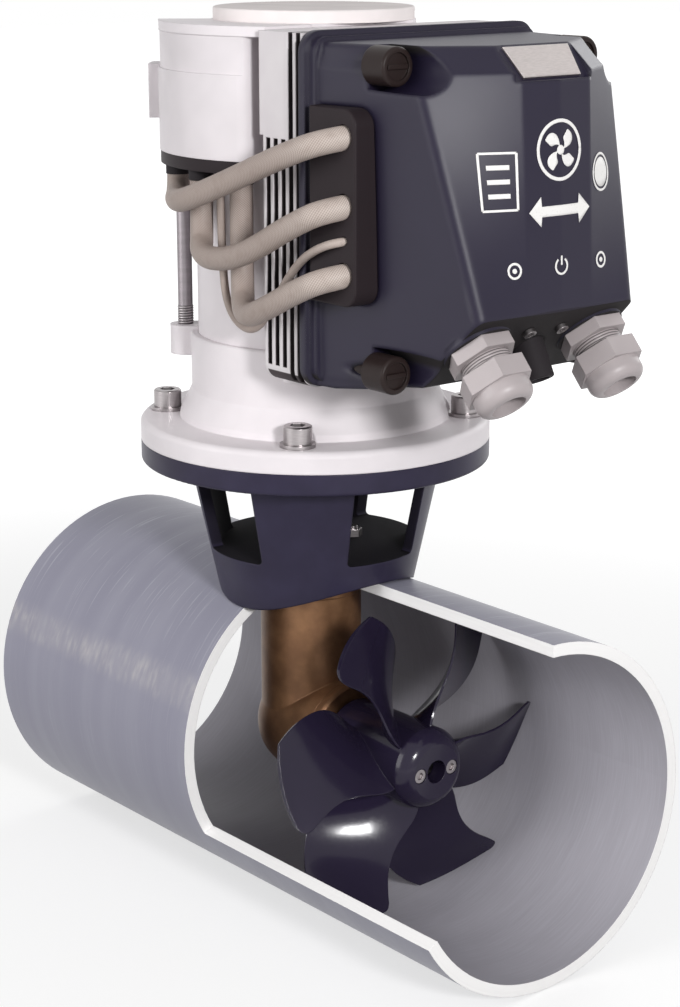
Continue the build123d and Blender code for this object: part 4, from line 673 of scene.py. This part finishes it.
def make_leads():
    """The three power leads and the signal lead."""
    turns = zip(power_routes, terminal_deg, turn_up_z)
    for number, (route, angle, turn_up) in enumerate(turns, 1):
        name, node = f"sheath_{number}", f"power_cable_{number}"
        make_lead(name, node, route, angle, turn_up, cable_end_z, cable_r)
    name, node = "signal_sheath", "signal_cable"
    make_lead(name, node, signal_route, signal_deg, signal_turn_up_z, signal_end_z, signal_r)


# Screw threads. Each reach is from where a thread starts to where it ends, up its axis
rod_circle = 75.4  # millimetres
rod_degrees = (45, 135, 225, 315)
rod_reach = (242.2 * mm, 253.0 * mm)
rod_radii = (4.3 * mm, 4.75 * mm)  # root and crest
hood_slope = (Vector((156.0, 0, 238.0)) * mm, Vector((200.5, 0, 278.0)) * mm)  # under the glands
gland_up_slope = 34.0 * mm
gland_pad_high = 0.8 * mm
gland_y = 39.7 * mm
gland_reach = (7.15 * mm, 13.4 * mm)
gland_radii = (13.22 * mm, 13.45 * mm)
pitch_rows = 10  # rings of points for each pitch
fade_pitches = 0.4  # how far from its ends a thread starts to fade


def make_thread(name, foot, axis, reach, root_and_crest, material):
    """A screw thread on an axis. Its radius rises from root to crest and falls again, once for each
    pitch of height plus turn, and it fades out at both ends."""
    (start, end), (root_r, crest_r) = reach, root_and_crest
    height = np.linspace(start, end, int((end - start) / thread_pitch * pitch_rows))
    turn = np.arange(round_columns)[None, :] / round_columns
    phase = (height[:, None] / thread_pitch - turn) % 1.0
    from_end = np.minimum(height - start, end - height)
    fade = np.clip(from_end / (fade_pitches * thread_pitch), 0, 1)
    radii = root_r + (crest_r - root_r) * fade[:, None] * (1 - np.abs(2 * phase - 1))
    line = np.array(foot) + height[:, None] * np.array(axis)
    way = np.broadcast_to(np.array(axis), line.shape)
    return round_body(name, line, way, radii, material, height)


def make_threads():
    """Threads at the foot of each tie rod and on each gland, between its locknut and its cap."""
    for number, angle in enumerate(rod_degrees, 1):
        foot = Vector(on_circle(rod_circle, angle, 0)) * mm
        name = f"rod_thread_{number}"
        make_thread(name, foot, (0, 0, 1), rod_reach, rod_radii, steel_thread)
    low, high = hood_slope
    along = (high - low).normalized()
    out = Vector((along.z, 0, -along.x))
    for number, side in enumerate((-1, 1), 1):
        foot = low + along * gland_up_slope + out * gland_pad_high + Vector((0, side * gland_y, 0))
        name, slot = f"gland_thread_{number}", "gland_plastic"
        make_thread(name, foot, out, gland_reach, gland_radii, gland_thread_finish)


# Print on the hood's face, in millimetres. Its places are (y, z)
chin_row = (278.0, 198.8, 54.5, 200.0, 22.0, 200.5)  # z, corner x and y, fold x and y, middle x
brow_row = (397.0, 163.5, 68.0, 192.5, 23.5, 195.0)
print_lift = 0.35  # of the print's outer face from the hood
print_thick = 0.2
line_half = 0.6  # half the width of a thin line
band_columns = 5  # points across a band
stroke_steps, arrow_steps, arc_steps, disc_steps, vane_steps = 24, 169, 96, 48, 32


def hood_face(y, z):
    """How far forward the hood stands at a place: at each height straight lines run from the middle
    to the fold and on to the corner, and each of these moves evenly from the chin to the brow."""
    share = (z - chin_row[0]) / (brow_row[0] - chin_row[0])
    rows = zip(chin_row[1:], brow_row[1:])
    corner_x, corner_y, fold_x, fold_y, middle_x = (
        low + (high - low) * share for low, high in rows
    )
    out = np.abs(y)
    inner = middle_x + (fold_x - middle_x) * out / fold_y
    outer = fold_x + (corner_x - fold_x) * (out - fold_y) / (corner_y - fold_y)
    return np.where(out < fold_y, inner, outer)


def print_mark(name, *bands):
    """A mark of flat bands. Each carries a cross line of its half width along a path of places."""
    points, faces, count = [], [], 0
    for path, half in bands:
        way = np.gradient(path, axis=0)
        way /= np.linalg.norm(way, axis=1)[:, None]
        half = np.broadcast_to(half, len(path))[:, None]
        across = np.stack([way[:, 1], -way[:, 0]], -1) * half
        flat = path[:, None] + np.linspace(-1, 1, band_columns)[None, :, None] * across[:, None]
        y, z = flat[..., 0], flat[..., 1]
        points.append(np.stack([hood_face(y, z) + print_lift, y, z], -1).reshape(-1, 3) * mm)
        faces.append(grid_faces(len(path), band_columns) + count)
        count += band_columns * len(path)
    points, faces = np.concatenate(points), np.concatenate(faces)
    piece = make_piece(name, points, faces, print_white)
    body = piece.modifiers.new("thickness", "SOLIDIFY")
    body.thickness = print_thick * mm
    body.offset = -1


def straight(start, end, half, steps=stroke_steps):
    """A band from one place to another."""
    return np.linspace(start, end, steps), half


def arc(centre, radius, half, start=0, end=360):
    """A band round a centre, between two angles from +Y towards +Z."""
    turn = np.radians(np.linspace(start, end, arc_steps))
    return np.array(centre) + radius * np.stack([np.cos(turn), np.sin(turn)], -1), half


def disc(centre, radius):
    """A full circle: a band across it, as wide at each place as the circle is there."""
    along = radius * np.cos(np.linspace(pi, 0, disc_steps))
    half = np.sqrt(radius**2 - along**2) + 0.01  # not quite nothing at the two ends
    return np.array(centre) + np.stack([along, 0 * along], -1), half


def vane(centre, angle):
    """One vane of a rotor: a band that runs outwards and curls, by 5 degrees for each millimetre,
    and whose half width is an arch over its length, widest in its outer half."""
    root, tip = 2.5, 11.0
    out = np.linspace(root, tip, vane_steps)
    turn = np.radians(angle + 5.0 * (out - root))
    path = np.array(centre) + out[:, None] * np.stack([np.cos(turn), np.sin(turn)], -1)
    return path, 0.3 + 3.0 * np.sin(pi * ((out - root) / (tip - root)) ** 1.4)


def make_print():
    """Plain marks in white: a rotor in a ring, a double arrow, a power sign between two rings, a
    framed list and a button."""
    rotor = (0.0, 359.0)
    vanes = [vane(rotor, angle) for angle in (20, 110, 200, 290)]
    print_mark("print_rotor", arc(rotor, 14.5, 0.9), disc(rotor, 2.4), *vanes)

    arrow_z, tip, head = 329.0, 21.0, 13.0  # each head runs from 13 mm out to its tip
    path, _ = straight((-tip, arrow_z), (tip, arrow_z), 0, arrow_steps)
    stops, halves = (0, head - 0.1, head + 0.1, tip), (2.6, 2.6, 7.6, 0.05)
    print_mark("print_arrow", (path, np.interp(np.abs(path[:, 0]), stops, halves)))

    sign_z, sign_half = 301.0, 0.55
    stroke = straight((0.0, sign_z + 0.5), (0.0, sign_z + 5.2), sign_half)
    open_ring = arc((0.0, sign_z), 4.0, sign_half, 125, 415)  # open at its top, round the stroke
    print_mark("print_power", open_ring, stroke)
    for number, y in enumerate((-30.4, 30.4), 1):
        place = (y, sign_z)
        print_mark(f"print_ring_{number}", arc(place, 3.6, line_half), disc(place, 1.3))

    left, right, low, high = -45.0, -27.0, 331.0, 359.0
    corners = ((left, low), (right, low), (right, high), (left, high), (left, low))
    sides = [straight(start, end, line_half) for start, end in zip(corners, corners[1:])]
    start, end, row_half = left + 3.5, right - 3.5, 1.2
    rows = [straight((start, z), (end, z), row_half) for z in (338.0, 345.0, 352.0)]
    print_mark("print_list", *sides, *rows)

    button = (35.0, 345.0)
    print_mark("print_button", arc(button, 9.2, line_half), disc(button, 7.4))


# Stage
floor_reach = 8.0
floor_gap = 0.5 * mm  # between the floor and the lowest point
floor_grey = linear(176, 176, 176)
shadow_reach = 0.5  # from here to three times this the camera sees the floor turn plain white
glow_near, glow_more = 0.62, 0.4  # what the camera sees on top of the lit floor, and more beyond
room_level = 0.32  # what the room's walls give to matt surfaces
lamps_aim = Vector((0.03, 0, 0.15))
lamps = (  # name, place, width in metres and power in watts
    ("key", (-0.4, -2.05, 0.75), 1.3, 22),
    ("front", (1.83, -0.6, 0.8), 0.27, 26),
    ("rear", (-0.4, 2.0, 1.1), 1.2, 13),
)


def sees_white(graph):
    """1 for a ray from the camera, off a gloss or through glass, which sees white, and else 0."""
    seen = graph.add("ShaderNodeLightPath", output="Is Camera Ray")
    mirrored = graph.add("ShaderNodeLightPath", output="Is Glossy Ray")
    through = graph.add("ShaderNodeLightPath", output="Is Transmission Ray")
    return seen.maths("MAXIMUM", mirrored).maths("MAXIMUM", through)


def make_stage():
    """A wide pale floor that the camera sees as white outside the object's shadow."""
    floor_z = cad_box[0].z - floor_gap
    sides = ((-1, -1), (1, -1), (1, 1), (-1, 1))
    corners = [(x * floor_reach, y * floor_reach, floor_z) for x, y in sides]
    mesh = bpy.data.meshes.new("floor")
    mesh.from_pydata(corners, [], [(0, 1, 2, 3)])
    graph = Graph("floor_paint")
    matt = graph.add("ShaderNodeBsdfDiffuse", values={"Color": floor_grey})
    x, y, _ = graph.axes()
    away = (x * x + y * y).maths("SQRT").step(shadow_reach, 3 * shadow_reach)
    strength = sees_white(graph) * (glow_near + glow_more * away)
    glow = graph.add("ShaderNodeEmission", values={"Color": (1, 1, 1, 1), "Strength": strength})
    both = graph.add("ShaderNodeAddShader", values={0: matt, 1: glow})
    graph.add("ShaderNodeOutputMaterial", values={"Surface": both})
    mesh.materials.append(graph.owner)
    floor = bpy.data.objects.new("floor", mesh)
    bpy.context.scene.collection.objects.link(floor)


def area_light(name, place, wide, power):
    """A square lamp that looks at the object's middle."""
    data = bpy.data.lights.new(name, "AREA")
    data.shape = "RECTANGLE"
    data.size = data.size_y = wide
    data.energy = power
    lamp = bpy.data.objects.new(name, data)
    lamp.location = place
    lamp.rotation_euler = (lamps_aim - Vector(place)).to_track_quat("-Z", "Y").to_euler()
    bpy.context.scene.collection.objects.link(lamp)


def make_light():
    """A white room, dimmer for what it lights than for what sees it, and three soft lamps."""
    graph = Graph("studio", world=True)
    levels = {"Value": sees_white(graph), "To Min": room_level, "To Max": 1.0}
    strength = graph.add("ShaderNodeMapRange", values=levels)
    walls = graph.add("ShaderNodeBackground", values={"Color": (1, 1, 1, 1), "Strength": strength})
    graph.add("ShaderNodeOutputWorld", values={"Surface": walls})
    bpy.context.scene.world = graph.owner
    for lamp in lamps:
        area_light(*lamp)


bpy.context.scene.view_settings.view_transform = "Standard"
make_camera()
make_stage()
make_light()
dress_nodes()
make_leads()
make_threads()
make_print()
